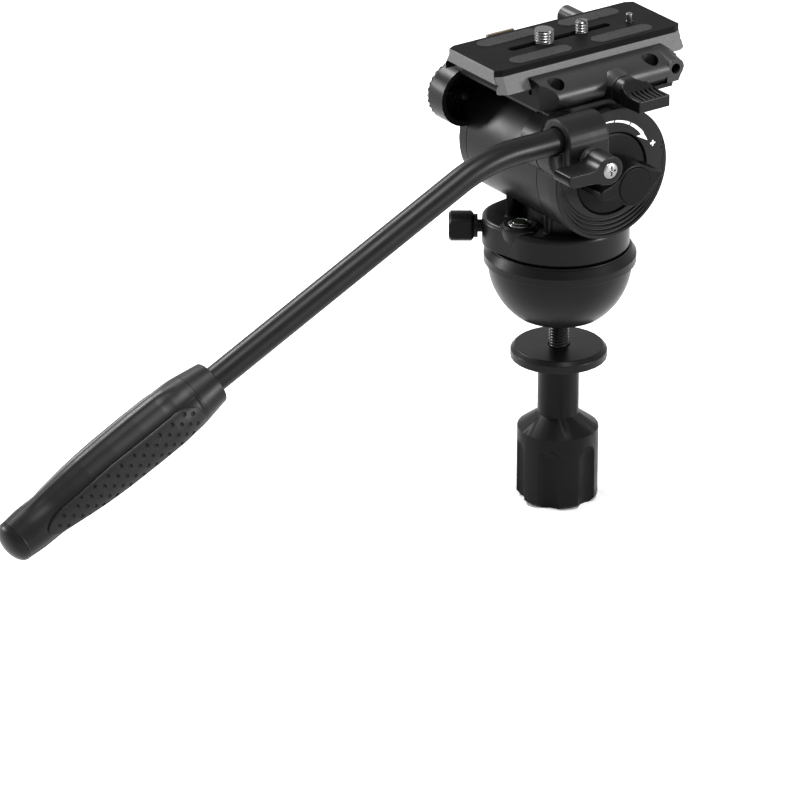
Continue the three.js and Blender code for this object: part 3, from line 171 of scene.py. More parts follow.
def edit(piece):
    """Opens a piece in edit mode with all of it selected."""
    pick(piece)
    bpy.ops.object.mode_set(mode="EDIT")
    bpy.ops.mesh.select_all(action="SELECT")


def settle(piece, angle=30):
    """Merges doubles, turns the faces outwards and smooths all but the sharp edges."""
    edit(piece)
    bpy.ops.mesh.remove_doubles(threshold=0.000005)
    bpy.ops.mesh.delete_loose(use_verts=True, use_edges=True, use_faces=False)
    bpy.ops.mesh.select_all(action="SELECT")
    bpy.ops.mesh.normals_make_consistent(inside=False)
    bpy.ops.object.mode_set(mode="OBJECT")
    bpy.ops.object.shade_smooth_by_angle(angle=math.radians(angle))
    return piece


def apply(piece, kind, **settings):
    """Adds one modifier, sets it and applies it."""
    pick(piece)
    modifier = piece.modifiers.new(kind.lower(), kind)
    for key, value in settings.items():
        setattr(modifier, key, value)
    bpy.ops.object.modifier_apply(modifier=modifier.name)
    return piece


def chain(name, points):
    """A loop of vertices at these points, in millimetres, on which a section is spun or drawn out."""
    bpy.ops.object.select_all(action="DESELECT")
    bpy.ops.mesh.primitive_circle_add(vertices=len(points), radius=mm, fill_type="NOTHING")
    piece = bpy.context.object
    piece.name = piece.data.name = name
    for vertex, point in zip(piece.data.vertices, points):
        vertex.co = [c * mm for c in point]
    return piece


def turned(name, outline, axis="Z", centre=(0, 0, 0), steps=96):
    """Spins an outline of (radius, along) pairs, in millimetres, a whole turn about an axis."""
    x, y, z = centre
    if axis == "Z":
        points, line = [(x + r, y, z + a) for r, a in outline], (0, 0, 1)
    elif axis == "X":
        points, line = [(x + a, y, z + r) for r, a in outline], (1, 0, 0)
    else:
        points, line = [(x + r, y + a, z) for r, a in outline], (0, 1, 0)
    piece = chain(name, points)
    edit(piece)
    bpy.ops.mesh.spin(steps=steps, angle=2 * math.pi, center=[c * mm for c in centre], axis=line)
    bpy.ops.object.mode_set(mode="OBJECT")
    return settle(piece)


def bevel(piece, width, segments=3, angle=35):
    """Rounds the edges that are sharper than an angle."""
    apply(piece, "BEVEL", width=width * mm, segments=segments, limit_method="ANGLE",
          angle_limit=math.radians(angle), use_clamp_overlap=True, miter_outer="MITER_ARC")
    return settle(piece)


def belongs(piece, body, slot, material, *nodes):
    """Puts the finish on a piece, and says which body it moves with and which solids it stands for."""
    apply(piece, "WEIGHTED_NORMAL", keep_sharp=True, weight=80)
    piece.data.materials.clear()
    piece.data.materials.append(material)
    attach(piece, body)
    if nodes:
        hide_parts(*nodes)
    return piece


satin_black = finish("satin_black_anodised", (0.004, 0.004, 0.0042),
                     roughness=0.34, specular=0.11, grain=0.35, depth=0.004)
ball_radius, rim_radius, shoulder_radius = 35.5, 37.5, 34.6
ball_arc = [(ball_radius * math.cos(math.radians(a)), -ball_radius * math.sin(math.radians(a)))
            for a in range(52, 0, -2)]
half_ball = turned("half_ball_turning", [(0, -10), (0, -28)] + ball_arc + [
    (ball_radius, 0), (rim_radius, 0), (rim_radius, 4), (35.0, 7.8), (shoulder_radius, 7.8),
    (shoulder_radius, 8.5), (20, 8.5), (20, -10)])
bevel(half_ball, 0.35)
belongs(half_ball, "base", "anodised", satin_black, "half_ball")

# Tie-down stud
# A steel stud screwed into the bottom of the ball, threaded along its whole free length so that the
# tie-down knob can be run up it.
blackened_steel = finish("blackened_steel", (0.012, 0.012, 0.012),
                         roughness=0.3, specular=0.5, grain=0.3, depth=0.004, metallic=0.85)


def threaded(piece, radius, depth, pitch, low, high, centre=(0, 0)):
    """Draws the rings of a turned rod in along a helix between two heights, in millimetres."""
    for vertex in piece.data.vertices:
        x, y, z = [c / mm for c in vertex.co]
        x, y = x - centre[0], y - centre[1]
        reach = math.hypot(x, y)
        if reach < radius * 0.6 or not low < z < high:
            continue
        turns = (z / pitch - math.atan2(y, x) / (2 * math.pi)) % 1
        runout = min(1, (z - low) / pitch, (high - z) / pitch)
        share = (radius - depth * runout * abs(2 * turns - 1)) / reach
        vertex.co = ((centre[0] + x * share) * mm, (centre[1] + y * share) * mm, z * mm)
    return settle(piece, 50)


stud_radius, stud_end, stud_root = 5, -115.5, -16
stud_rings = [(stud_radius, stud_end + 0.5 + 0.25 * step) for step in range(341)]
stud_outline = [(0, stud_end), (4.5, stud_end)] + stud_rings + [(stud_radius, stud_root), (0, stud_root)]
stud = turned("stud_rod", stud_outline, steps=40)
threaded(stud, stud_radius, 0.55, 1.5, -114.9, -30.1)
belongs(stud, "base", "steel", blackened_steel, "tie_down_stud")

# Clamp cup
# A turned aluminium washer with rounded edges, which the tie-down knob pushes up under the tripod bowl.


def from_solid(node, name, width=0.3, segments=3, angle=28):
    """Takes a solid's own shape as a new mesh, joins its flat faces again and rounds its edges."""
    piece = bpy.data.objects.new(name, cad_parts[node].data.copy())
    piece.data.name = name
    bpy.context.scene.collection.objects.link(piece)
    edit(piece)
    bpy.ops.mesh.remove_doubles(threshold=0.000002)
    bpy.ops.mesh.dissolve_limited(angle_limit=math.radians(0.6))
    bpy.ops.object.mode_set(mode="OBJECT")
    if width:
        return bevel(piece, width, segments, angle)
    return settle(piece)


cup = from_solid("clamp_cup", "cup_washer", 0.3)
belongs(cup, "cup", "anodised", satin_black, "clamp_cup")

# Tie-down knob
# A moulded nylon knob with six deep flutes for the fingers, run up the stud from below.
moulded_nylon = finish("moulded_nylon", (0.003, 0.003, 0.003),
                       roughness=0.4, specular=0.075, grain=0.5, depth=0.01)
tie_knob = from_solid("tie_down_knob", "tie_knob_body", 0.9, 4)
belongs(tie_knob, "tie_down", "plastic", moulded_nylon, "tie_down_knob")

# Pan spindle, nut, bush and friction ring
# The hidden bearing of the pan: a steel spindle in the ball, a bronze bush round it, a nut over the
# housing floor and a thin friction ring under it.
turned_bronze = finish("turned_bronze", (0.32, 0.17, 0.06),
                       roughness=0.32, specular=0.5, grain=0.4, depth=0.004, metallic=1.0)
bright_steel = finish("bright_steel", (0.36, 0.36, 0.37),
                      roughness=0.28, specular=0.5, grain=0.4, depth=0.003, metallic=1.0)


def finish_solid(material, *nodes):
    """Puts a finish on solids that show as they are."""
    for node in nodes:
        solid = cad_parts[node]
        solid.data.materials.clear()
        solid.data.materials.append(material)


finish_solid(bright_steel, "pan_spindle", "pan_nut")
finish_solid(turned_bronze, "pan_bush")
finish_solid(moulded_nylon, "pan_friction_ring")

# Pan housing
# A cast and turned aluminium drum with a rounded top edge, with a boss at the rear for the lock screw.
housing_radius, housing_floor, housing_top = 34.0, 9.6, 23.5
boss_bearing = 234.9
boss_way = math.radians(boss_bearing)
level_place = (2.5, -26.5, 0)


def arc(centre, radius, start, end, steps):
    """Points along an arc, with its angles in degrees."""
    turns = [math.radians(start + (end - start) * step / steps) for step in range(steps + 1)]
    return [(centre[0] + radius * math.cos(a), centre[1] + radius * math.sin(a)) for a in turns]


def drawn(name, outline, axis, start, end):
    """Draws a flat outline out into a bar; its pairs are (Y, Z) along X, (X, Z) along Y, (X, Y) along Z."""
    if axis == "X":
        points, step = [(start, a, b) for a, b in outline], ((end - start) * mm, 0, 0)
    elif axis == "Y":
        points, step = [(a, start, b) for a, b in outline], (0, (end - start) * mm, 0)
    else:
        points, step = [(a, b, start) for a, b in outline], (0, 0, (end - start) * mm)
    piece = chain(name, points)
    edit(piece)
    bpy.ops.mesh.edge_face_add()
    bpy.ops.mesh.extrude_region_move(TRANSFORM_OT_translate={"value": step})
    bpy.ops.object.mode_set(mode="OBJECT")
    return settle(piece)


def carve(piece, *tools, operation="DIFFERENCE"):
    """Cuts each tool out of a piece, or joins it on, and removes the tool."""
    for tool in tools:
        apply(piece, "BOOLEAN", object=tool, operation=operation, solver="EXACT")
        bpy.data.objects.remove(tool)
    return piece


def round_top(piece, height, width, segments):
    """Rounds the edges that lie at one height, in millimetres, as a cutter would."""
    edit(piece)
    bpy.ops.mesh.select_all(action="DESELECT")
    bpy.ops.object.mode_set(mode="OBJECT")
    for edge in piece.data.edges:
        edge.select = all(abs(piece.data.vertices[v].co.z / mm - height) < 0.01 for v in edge.vertices)
    bpy.ops.object.mode_set(mode="EDIT")
    bpy.ops.mesh.select_mode(type="EDGE")
    bpy.ops.mesh.bevel(offset=width * mm, segments=segments, affect="EDGES", clamp_overlap=False)
    bpy.ops.mesh.select_mode(type="VERT")
    bpy.ops.object.mode_set(mode="OBJECT")
    return settle(piece)


def beside(along, aside):
    """A point of the boss, from the distance along it and the distance to its side."""
    return (along * math.cos(boss_way) - aside * math.sin(boss_way),
            along * math.sin(boss_way) + aside * math.cos(boss_way))


def bent(t, start, pull, end):
    """A value on a curve from start to end that a third value pulls towards itself."""
    return (1 - t) ** 2 * start + 2 * t * (1 - t) * pull + t * t * end


boss_reach, boss_steps = 38.3, 8
boss_end = []
for side_way in (-1, 1):
    corner = []
    for step in range(boss_steps + 1):
        t = step / boss_steps
        corner.append(beside(bent(t, 31.5, boss_reach, boss_reach), side_way * bent(t, 16.6, 10, 2.5)))
    boss_end += corner if side_way < 0 else corner[::-1]
shell = arc((0, 0), housing_radius, boss_bearing + 49.5, boss_bearing + 310.5, 112)
housing = drawn("housing_casting", shell + boss_end, "Z", housing_floor, housing_top)
round_top(housing, housing_top, 2.6, 7)
round_top(housing, housing_floor, 0.4, 2)
carve(housing, turned("housing_bore", [(0, 9), (10.6, 9), (10.6, 24), (0, 24)]))
boss_outline = [(0, 11), (5.0, 11), (6.8, 15), (8.4, 19), (9.2, 22.6), (9.4, 23.7), (9.3, 24.3), (9.0, 24.6),
                (0, 24.6)]
carve(housing, turned("level_boss", boss_outline, centre=level_place, steps=64), operation="UNION")
level_seat = [(0, 18.3), (6.95, 18.3), (6.95, 22.4), (8.7, 22.4), (8.7, 26), (0, 26)]
carve(housing, turned("level_seat", level_seat, centre=level_place, steps=64))
settle(housing)
belongs(housing, "pan", "anodised", satin_black, "pan_housing")

# Bubble level
# A round glass vial with a domed top, set in a black bezel on a boss of the housing. A bright rim ring and
# a bright mark ring lie on the glass.
level_top = 25.5
level_glass = finish("level_glass", (0.02, 0.026, 0.018),
                     roughness=0.05, specular=0.5, grain=1.5, depth=0.0003, mottle=0.1)
level_ring_finish = finish("level_ring_finish", (0.42, 0.42, 0.42),
                           roughness=0.22, specular=0.5, grain=0.5, depth=0.003, metallic=1.0)
dome_radius, dome_height = 5.5, 1.4
dome = [(dome_radius * math.sin(math.radians(a)), level_top + dome_height * math.cos(math.radians(a)))
        for a in range(90, 0, -9)]
vial = turned("level_vial_glass", [(0, 18.5), (6.8, 18.5)] + dome + [(0, level_top + dome_height)],
              centre=level_place, steps=48)
belongs(vial, "pan", "level", level_glass, "level_vial")
bezel = turned("level_ring", [(5.8, 22.5), (8.6, 22.5), (8.6, 24.6), (7.9, 25.5), (6.2, 25.5), (5.8, 24.9)],
               centre=level_place, steps=64)
bevel(bezel, 0.15, 2)
belongs(bezel, "pan", "level", satin_black, "level_bezel")
for name, ring_radius, ring_height, ring_thickness in (
        ("level_rim_ring", 5.6, level_top + 0.1, 0.13), ("level_mark_ring", 3.9, level_top + 1.05, 0.12)):
    section = arc((ring_radius, ring_height), ring_thickness, 0, 324, 9)
    ring = turned(name, section + section[:1], centre=level_place, steps=72)
    belongs(ring, "pan", "level", level_ring_finish)

# Pan lock
# A short screw with a collar and a moulded knob that has two flats, and a bronze shoe ahead of it that
# presses on the spindle.
lock_knob = from_solid("pan_lock_knob", "lock_knob_block", 0.6, 4)
belongs(lock_knob, "pan_lock", "plastic", moulded_nylon, "pan_lock_knob")
finish_solid(turned_bronze, "pan_brake_shoe")

# Drum housing
# The casting that carries the tilt axle, open on the right, on a round pedestal over the pan housing,
# with a cover, bushes and one fixed disc inside.
drum_black = finish("drum_black", (0.003, 0.003, 0.0032),
                    roughness=0.37, specular=0.12, grain=0.3, depth=0.012, mottle=0.4)
drum = from_solid("drum_housing", "drum_casting", 0.5, 4, 40)
post_outline = [(0, 23.6), (2.9, 23.6), (2.2, 24.4), (2.2, 36), (0, 36)]
for post_x, post_y in ((-11.2, -22.0), (16.2, -19.4)):
    carve(drum, turned("post", post_outline, centre=(post_x, post_y, 0), steps=40), operation="UNION")
settle(drum)
belongs(drum, "pan", "anodised", drum_black, "drum_housing")
finish_solid(satin_black, "drum_cover", "axle_cover")
finish_solid(turned_bronze, "tilt_bush_left", "tilt_bush_right")
finish_solid(bright_steel, "drag_disc_fixed", "drag_disc_turning", "tilt_axle", "counterbalance_spring",
             "rosette_insert", "handle_lock_bolt")

# Left side plate
# A machined plate that hangs from the platform on the left, with a lobe for a second handle and two
# socket screws into the platform.
left_plate = from_solid("left_side_plate", "left_plate_casting", 0.4, 3)
belongs(left_plate, "tilt", "anodised", satin_black, "left_side_plate")
finish_solid(blackened_steel, "side_plate_screw_rear", "side_plate_screw_front")

# Tilt frame
# One casting: the right disc, the platform under the plate clamp, and the lobe that the handle's
# rosette is bolted to.
tilt_casting = from_solid("tilt_frame", "tilt_casting", 0.5, 3, 35)
belongs(tilt_casting, "tilt", "anodised", satin_black, "tilt_frame")

# Dial ring
# A turned aluminium ring screwed to the right disc, with four shallow crescent grooves cut round its lower
# half and a printed arrow that shows which way the drag grows.
axis_height, face_x = 58.1, 40.7
dial_centre = (0, 0, axis_height)
rosette_place = (0, -31.4, 80.6)
dial_black = finish("dial_black", (0.009, 0.009, 0.0092),
                    roughness=0.42, specular=0.08, grain=0.3, depth=0.008)
dial_outside, dial_inside = 33.2, 21.0
ring_face = [(dial_outside - 0.9 - 1.0 * step, face_x) for step in range(12)]
dial_outline = [(dial_inside, 34.4), (dial_outside, 34.4), (dial_outside, 40.0), (33.0, 40.45),
                (32.7, face_x)]
dial = turned("dial_ring_turning", dial_outline + ring_face + [(dial_inside, 40.5)], "X", dial_centre, 180)
carve(dial, turned("rosette_room", [(0, 34), (15.5, 34), (15.5, 42), (0, 42)], "X", rosette_place, 96))
cutter_radius, cutter_gap, cutter_lean = 0.9, 0.75, math.radians(91.9)
for groove_rise, groove_radius in ((0, 30.6), (2.3, 30.5), (4.8, 30.6), (7.6, 31.0)):
    bpy.ops.object.select_all(action="DESELECT")
    bpy.ops.mesh.primitive_torus_add(
        location=((face_x + cutter_gap) * mm, 0, (axis_height + groove_rise) * mm),
        rotation=(0, cutter_lean, 0), major_segments=128, minor_segments=12,
        major_radius=groove_radius * mm, minor_radius=cutter_radius * mm)
    groove_tool = bpy.context.object
    bpy.ops.object.transform_apply(location=True, rotation=True, scale=True)
    carve(dial, groove_tool)
settle(dial)
belongs(dial, "tilt", "anodised", dial_black, "dial_ring")

white_print = finish("white_print", (0.82, 0.82, 0.82),
                     roughness=0.45, specular=0.3, grain=0.4, depth=0.002, mottle=0.03)
print_back, print_front = face_x - 0.02, face_x + 0.04
arrow_centre, arrow_radius, arrow_steps = (-2.0, axis_height + 1.3), 26.1, 16
arrow_bands = ((98.5, 84, 0.3, 0.85), (82.3, 61.3, 0.95, 1.4), (59.6, 38, 1.45, 1.7))
arrow_tip, arrow_barb = arc(arrow_centre, 25.7, 35, 26, 3), arc(arrow_centre, 22.1, 42, 42, 1)[0]
for number, (start, end, thin, wide) in enumerate(arrow_bands):
    outer = arc(arrow_centre, arrow_radius, start, end, arrow_steps)
    inner = []
    for step, (y, z) in enumerate(arc((0, 0), 1, end, start, arrow_steps)):
        reach = arrow_radius - (wide + (thin - wide) * step / arrow_steps)
        inner.append((arrow_centre[0] + y * reach, arrow_centre[1] + z * reach))
    if number == 2:
        outer.extend(arrow_tip)
        inner.insert(0, arrow_barb)
    arrow_part = drawn(f"dial_arrow_{number}", outer + inner, "X", print_back, print_front)
    belongs(arrow_part, "tilt", None, white_print)
plus_y, plus_z = 24.3, 68.4
plus = drawn("dial_plus", [(plus_y + a, plus_z + b) for a, b in (
    (-0.4, -1.5), (0.4, -1.5), (0.4, -0.4), (1.5, -0.4), (1.5, 0.4), (0.4, 0.4), (0.4, 1.5), (-0.4, 1.5),
    (-0.4, 0.4), (-1.5, 0.4), (-1.5, -0.4), (-0.4, -0.4))], "X", print_back, print_front)
belongs(plus, "tilt", None, white_print)

# Drag dial
# A turned disc, slightly domed, that turns with the drag knob in the middle of the dial ring.
disc_black = finish("disc_black", (0.0035, 0.0035, 0.0037),
                    roughness=0.38, specular=0.05, grain=0.3, depth=0.008)
dome_edge, dome_foot, dome_rise, disc_bore = 19.7, 40.0, 1.1, 4.3
dome_radii = [dome_edge - 0.9 * step for step in range(17)]
disc_dome = [(radius, dome_foot + dome_rise * (1 - (radius / dome_edge) ** 2)) for radius in dome_radii]
disc_outline = [(disc_bore, 34.5), (20.3, 34.5), (20.3, 39.3), (20.1, 39.8)] + disc_dome + [(disc_bore, 41.1)]
disc = turned("drag_disc_face", disc_outline, "X", dial_centre, 128)
belongs(disc, "drag", "anodised", disc_black, "drag_dial")

# Drag knob with its cap
# A moulded two-winged knob in one piece with its stem; the finger edge of one wing is notched for grip,
# and a plain round cap closes its hub.
knob_black = finish("knob_black", (0.0035, 0.0035, 0.0037),
                    roughness=0.34, specular=0.06, grain=0.4, depth=0.01)
wing_face, wing_back = 59.0, 42.7
wing_lift = math.radians(2.7)


def moulded(piece, voxel, rounds):
    """Runs hard joints together into one soft casting skin."""
    apply(piece, "REMESH", mode="VOXEL", voxel_size=voxel * mm, adaptivity=0)
    apply(piece, "SMOOTH", factor=0.5, iterations=rounds)
    bpy.ops.object.shade_smooth()
    return piece


def wing_point(y, z):
    """Turns a point of the knob's outline by the knob's rest angle and sets it on its axis."""
    return (y * math.cos(wing_lift) - z * math.sin(wing_lift),
            axis_height + y * math.sin(wing_lift) + z * math.cos(wing_lift))


hub_radius = 10.6
wing_outline = arc((0, 0), hub_radius, 48, 132, 14)
wing_outline += [(-9.4, 5.6), (-13.5, 3.6), (-18.5, 2.6), (-20.3, 1.6), (-20.3, -1.6), (-18.5, -2.6),
                 (-13.5, -3.8), (-9.4, -5.8)]
wing_outline += arc((0, 0), hub_radius, 228, 312, 14)
wing_outline += [(9.8, -4.9), (13.0, -2.0), (16.4, 0.8), (17.2, 1.6), (17.2, 2.3), (16.4, 2.9), (13.0, 4.5),
                 (9.4, 6.2)]
wing = drawn("drag_knob_wings", [wing_point(y, z) for y, z in wing_outline], "X", wing_back, wing_face)
moulded(wing, 0.35, 8)
notch_outline = ((-0.28, -0.35), (0.28, -0.35), (0.28, 1.4), (-0.28, 1.4))
for rib in range(7):
    y, z = 10.2 + rib * 1.0, 5.4 - rib * 0.47
    notch = [wing_point(y + a, z + b) for a, b in notch_outline]
    carve(wing, drawn("notch", notch, "X", wing_back + 4, wing_face - 5))
stem_outline = [(0, 16.7), (4, 16.7), (4, 43.5), (0, 43.5)]
carve(wing, turned("stem", stem_outline, "X", dial_centre, 48), operation="UNION")
cap_seat = [(0, 57.8), (9.45, 57.8), (9.45, 60), (0, 60)]
carve(wing, turned("cap_seat", cap_seat, "X", dial_centre, 96))
settle(wing)
belongs(wing, "drag", "plastic", knob_black, "drag_wing_knob")
cap_outline = [(0, 57.9), (9.2, 57.9), (9.2, 59.2), (8.9, 59.45), (6, 59.55), (0, 59.6)]
cap = turned("knob_cap_disc", cap_outline, "X", dial_centre, 96)
bevel(cap, 0.1, 2)
belongs(cap, "drag", "plastic", disc_black, "drag_knob_cap")

# Plate clamp
# The sandblasted clamp on the platform: two lipped walls that the camera plate slides between, a narrower
# nose with two round accessory bosses, cut ends in a darker painted shade, and four socket screws in
# counterbored holes.
blasted_black = finish("blasted_black", (0.008, 0.008, 0.0082),
                       roughness=0.4, specular=0.26, grain=0.28, depth=0.02, mottle=0.45)
clamp_low, clamp_high, clamp_rear, clamp_front = 96.0, 110.0, -37, 35.5
lug_place, lever_place, clamp_screw_x, clamp_screw_y = (0, 39.6, 102.4), (0, 5.5, 100.4), 32.5, 28
channel_side = [(22.37, clamp_high), (25.45, 104.8), (25.45, 101.8), (23.0, 101.8), (23.0, 104.4)]


def wall_point(t):
    """A point of the swelling outside of a wall, from its foot at 0 to its lip at 1."""
    foot_x, swell_x, lip_x, swell_low, swell_high = 35.5, 40.4, 24.4, 100.2, 109.3
    u = 1 - t
    return (u ** 3 * foot_x + 3 * u * u * t * swell_x + 3 * u * t * t * swell_x + t ** 3 * lip_x,
            u ** 3 * clamp_low + 3 * u * u * t * swell_low + 3 * u * t * t * swell_high + t ** 3 * clamp_high)


def both_sides(half):
    """The whole outline, from its right half."""
    return half + [(-x, z) for x, z in half[::-1]]


half_clamp = [wall_point(step / 28) for step in range(29)] + channel_side
clamp = drawn("clamp_casting", both_sides(half_clamp), "Y", clamp_rear, clamp_front)
half_nose = [(30.0, clamp_low), (30.0, 106.0), (24.4, clamp_high)] + channel_side
nose = drawn("nose", both_sides(half_nose), "Y", clamp_front - 2, 46.0)
carve(nose, drawn("nose_slope", [(50, 102), (50, 114), (38, 114)], "X", -34, 34))
carve(clamp, nose, operation="UNION")
for hand in (1, -1):
    corner = [(hand * 45, -43), (hand * 45, -23.5), (hand * 25.5, -43)]
    carve(clamp, drawn("corner", corner, "Z", 90, 115))
lug_side = [(34.6, clamp_low), (41.4, clamp_low), (44.6, 102.4)] + arc(lug_place[1:], 5, 6, 180, 29)
carve(clamp, drawn("right_lug", lug_side, "X", 27, 38), operation="UNION")
for lug in ([(0, 26), (7.4, 26), (5.0, 37.6), (0, 37.6)], [(0, -51), (5, -51), (5, -27), (0, -27)]):
    carve(clamp, turned("round_lug", lug, "X", lug_place, 64), operation="UNION")
lever_boss = [(0, 34.0), (8.6, 34.0), (8.4, 37.0), (7.5, 39.6), (7.2, 41.3), (0, 41.3)]
carve(clamp, turned("lever_boss", lever_boss, "X", lever_place, 72), operation="UNION")


def block(name, low_corner, high_corner, low, high):
    """A square-cornered tool between two corners (X, Y) and two heights."""
    (x0, y0), (x1, y1) = low_corner, high_corner
    return drawn(name, [(x0, y0), (x1, y0), (x1, y1), (x0, y1)], "Z", low, high)


carve(clamp, block("under_clamp", (-60, -60), (60, 60), 85, clamp_low))
carve(clamp, block("over_clamp", (-60, -60), (60, 60), clamp_high, 120))
lug_bore, cam_bore = 2.6, 3.6
for start, end in ((28, 40), (-53, -41)):
    lug_hole = [(0, start), (lug_bore, start), (lug_bore, end), (0, end)]
    carve(clamp, turned("lug_hole", lug_hole, "X", lug_place, 48))
carve(clamp, turned("cam_bore", [(0, 22), (cam_bore, 22), (cam_bore, 45), (0, 45)], "X", lever_place, 48))
carve(clamp, block("jaw_room", (19, -2.3), (31.2, 13.3), 100.3, 107.3))
carve(clamp, block("catch_room", (-35.8, -20.3), (-33.4, -3.7), 97, 114))
counterbore = [(0, 90), (2.3, 90), (2.3, 98.4), (4.1, 98.4), (4.1, 113), (0, 113)]
for x in (clamp_screw_x, -clamp_screw_x):
    for y in (clamp_screw_y, -clamp_screw_y):
        carve(clamp, turned("counterbore", counterbore, centre=(x, y, 0), steps=56))
bevel(clamp, 0.35, 3, 32)
belongs(clamp, "tilt", "sandblasted", blasted_black, "clamp_body")
# The faces across Y, the cut ends, get a darker and duller black: painted shade for the shadow they lie in.
clamp_end_painted_shade = finish("clamp_end_painted_shade", (0.004, 0.004, 0.0042),
                       roughness=0.45, specular=0.04, grain=0.3, depth=0.006)
clamp.data.materials.append(clamp_end_painted_shade)
for face in clamp.data.polygons:
    if abs(face.normal.y) > 0.9:
        face.material_index = 1
chrome = finish("bright_chrome", (0.12, 0.12, 0.122),
                roughness=0.3, specular=0.5, grain=0.5, depth=0.0006, metallic=1.0, mottle=0.08)
screw_outline = [(0, 94.4), (2, 94.4), (2, 98.5), (3.7, 98.5), (3.7, 102.0), (3.3, 102.4), (0, 102.4)]
for side, x in (("right", clamp_screw_x), ("left", -clamp_screw_x)):
    for end, y in (("rear", -clamp_screw_y), ("front", clamp_screw_y)):
        screw = turned(f"clamp_screw_{side}_{end}_head", screw_outline, centre=(x, y, 0), steps=48)
        carve(screw, drawn("socket", arc((x, y), 1.9, 0, 300, 5), "Z", 100.3, 103))
        settle(screw)
        belongs(screw, "tilt", "steel", chrome, f"clamp_screw_{side}_{end}")
finish_solid(bright_steel, "clamp_jaw")

# Plate lock lever
# A cast lever on the right of the clamp: a round hub in one piece with its cam shaft, and a flat paddle
# with six grooves for the thumb.
lever_root, lever_tip = 41.7, 61.7
lever_side = [(lever_root, 107.4), (45.6, 107.5), (47.4, 106.9), (48.8, 105.6), (50.2, 104.0), (51.8, 102.8),
              (54.0, 102.0), (57.0, 101.8), (lever_tip, 101.7), (lever_tip, 95.7), (47.0, 95.7), (44.5, 94.4),
              (lever_root, 93.6)]
lever_plan = [(lever_root, -1.4), (46.0, -1.6), (50.0, -1.1), (55.0, -0.6), (lever_tip, -0.3),
              (lever_tip, 18.0), (55.0, 17.6), (51.5, 16.2), (48.8, 13.6), (46.0, 12.6), (lever_root, 12.4)]
plate_lever = drawn("plate_lever_casting", lever_side, "Y", -2, 19)
carve(plate_lever, drawn("plan", lever_plan, "Z", 90, 110), operation="INTERSECT")
hub_outline = [(0, 41), (7.3, 41), (7.3, 47.0), (9.5, 52), (14, 57), (14, 62), (0, 62)]
hub_room = turned("hub_round", hub_outline, "X", lever_place, 72)
paddle_room = drawn("paddle_room", [(52, -3), (62, -3), (62, 19), (48.6, 19), (48.6, 10)], "Z", 90, 110)
carve(hub_room, paddle_room, operation="UNION")
carve(plate_lever, hub_room, operation="INTERSECT")
cam_shaft = [(0, 31.4), (3.2, 31.4), (3.2, 43), (0, 43)]
carve(plate_lever, turned("cam_shaft", cam_shaft, "X", lever_place, 48), operation="UNION")
moulded(plate_lever, 0.28, 16)
rib_slot = [(51.4, 101.3), (60.9, 101.0), (60.9, 103.5), (51.4, 103.5)]
for rib in range(6):
    y = 1.9 + 2.6 * rib
    carve(plate_lever, drawn("rib_slot", rib_slot, "Y", y, y + 1.1))
bpy.ops.object.shade_smooth_by_angle(angle=math.radians(40))
belongs(plate_lever, "plate_lever", "plastic", satin_black, "plate_lock_lever")

# Safety catch
# A thin sprung tab of brown plastic that stands beside the left wall and stops the plate from leaving.
catch_brown = finish("catch_brown", (0.11, 0.085, 0.055),
                     roughness=0.4, specular=0.4, grain=0.5, depth=0.01, mottle=0.15)
catch = from_solid("safety_catch", "catch_tab", 0.25, 3)
belongs(catch, "catch", "catch", catch_brown, "safety_catch")

# Camera plate
# A long extruded aluminium plate with dovetail sides: its sandblasted flanks are black painted a lighter grey
# as painted sheen, its top is satin black with a slot for the camera screws, and four rubber pads are let into
# it.
# The flanks' lighter grey is painted sheen: the same blasted black as the top, lightened to stand for the
# lamps' reflection on the slopes.
plate_flank_painted_sheen = finish("plate_flank_painted_sheen", (0.075, 0.075, 0.076),
                     roughness=0.42, specular=0.3, grain=0.28, depth=0.025, mottle=0.5)
plate_face = finish("plate_face", (0.005, 0.005, 0.0052),
                    roughness=0.45, specular=0.02, grain=0.3, depth=0.006)
plate_rear, plate_front, plate_foot, plate_shoulder, plate_top = -54.2, 56.3, 104.8, 112.9, 115.9
foot_half, top_half, corner_along, corner_across = 25.0, 20.2, 4, 2.4
foot_side = [(foot_half - corner_across, plate_rear), (foot_half, plate_rear + corner_along),
             (foot_half, plate_front - corner_along), (foot_half - corner_across, plate_front)]
foot_outline = both_sides(foot_side)
plate = drawn("plate_extrusion", foot_outline, "Z", plate_foot, plate_shoulder)
edit(plate)
bpy.ops.mesh.select_all(action="DESELECT")
bpy.ops.object.mode_set(mode="OBJECT")
for face in plate.data.polygons:
    face.select = face.normal.z > 0.9
bpy.ops.object.mode_set(mode="EDIT")
bpy.ops.mesh.select_mode(type="FACE")
bpy.ops.transform.resize(value=(top_half / foot_half, 1, 1))
bpy.ops.mesh.extrude_region_move(TRANSFORM_OT_translate={"value": (0, 0, (plate_top - plate_shoulder) * mm)})
bpy.ops.mesh.select_mode(type="VERT")
bpy.ops.object.mode_set(mode="OBJECT")
settle(plate)
bevel(plate, 0.3, 3, 20)
channel_half, slot_rear, slot_front, slot_half = 20.8, -29.7, 25.7, 2.3
pad_x, pad_rear, pad_front, pad_reach, pocket_floor = 13.3, -23, 25.3, 13.25, 115.3
pin_place, pin_room = (4, 37, 0), 2.0


def stadium(x, rear, front, half, steps):
    """An outline with round ends about two points on a line along Y."""
    return arc((x, front), half, 0, 180, steps) + arc((x, rear), half, 180, 360, steps)


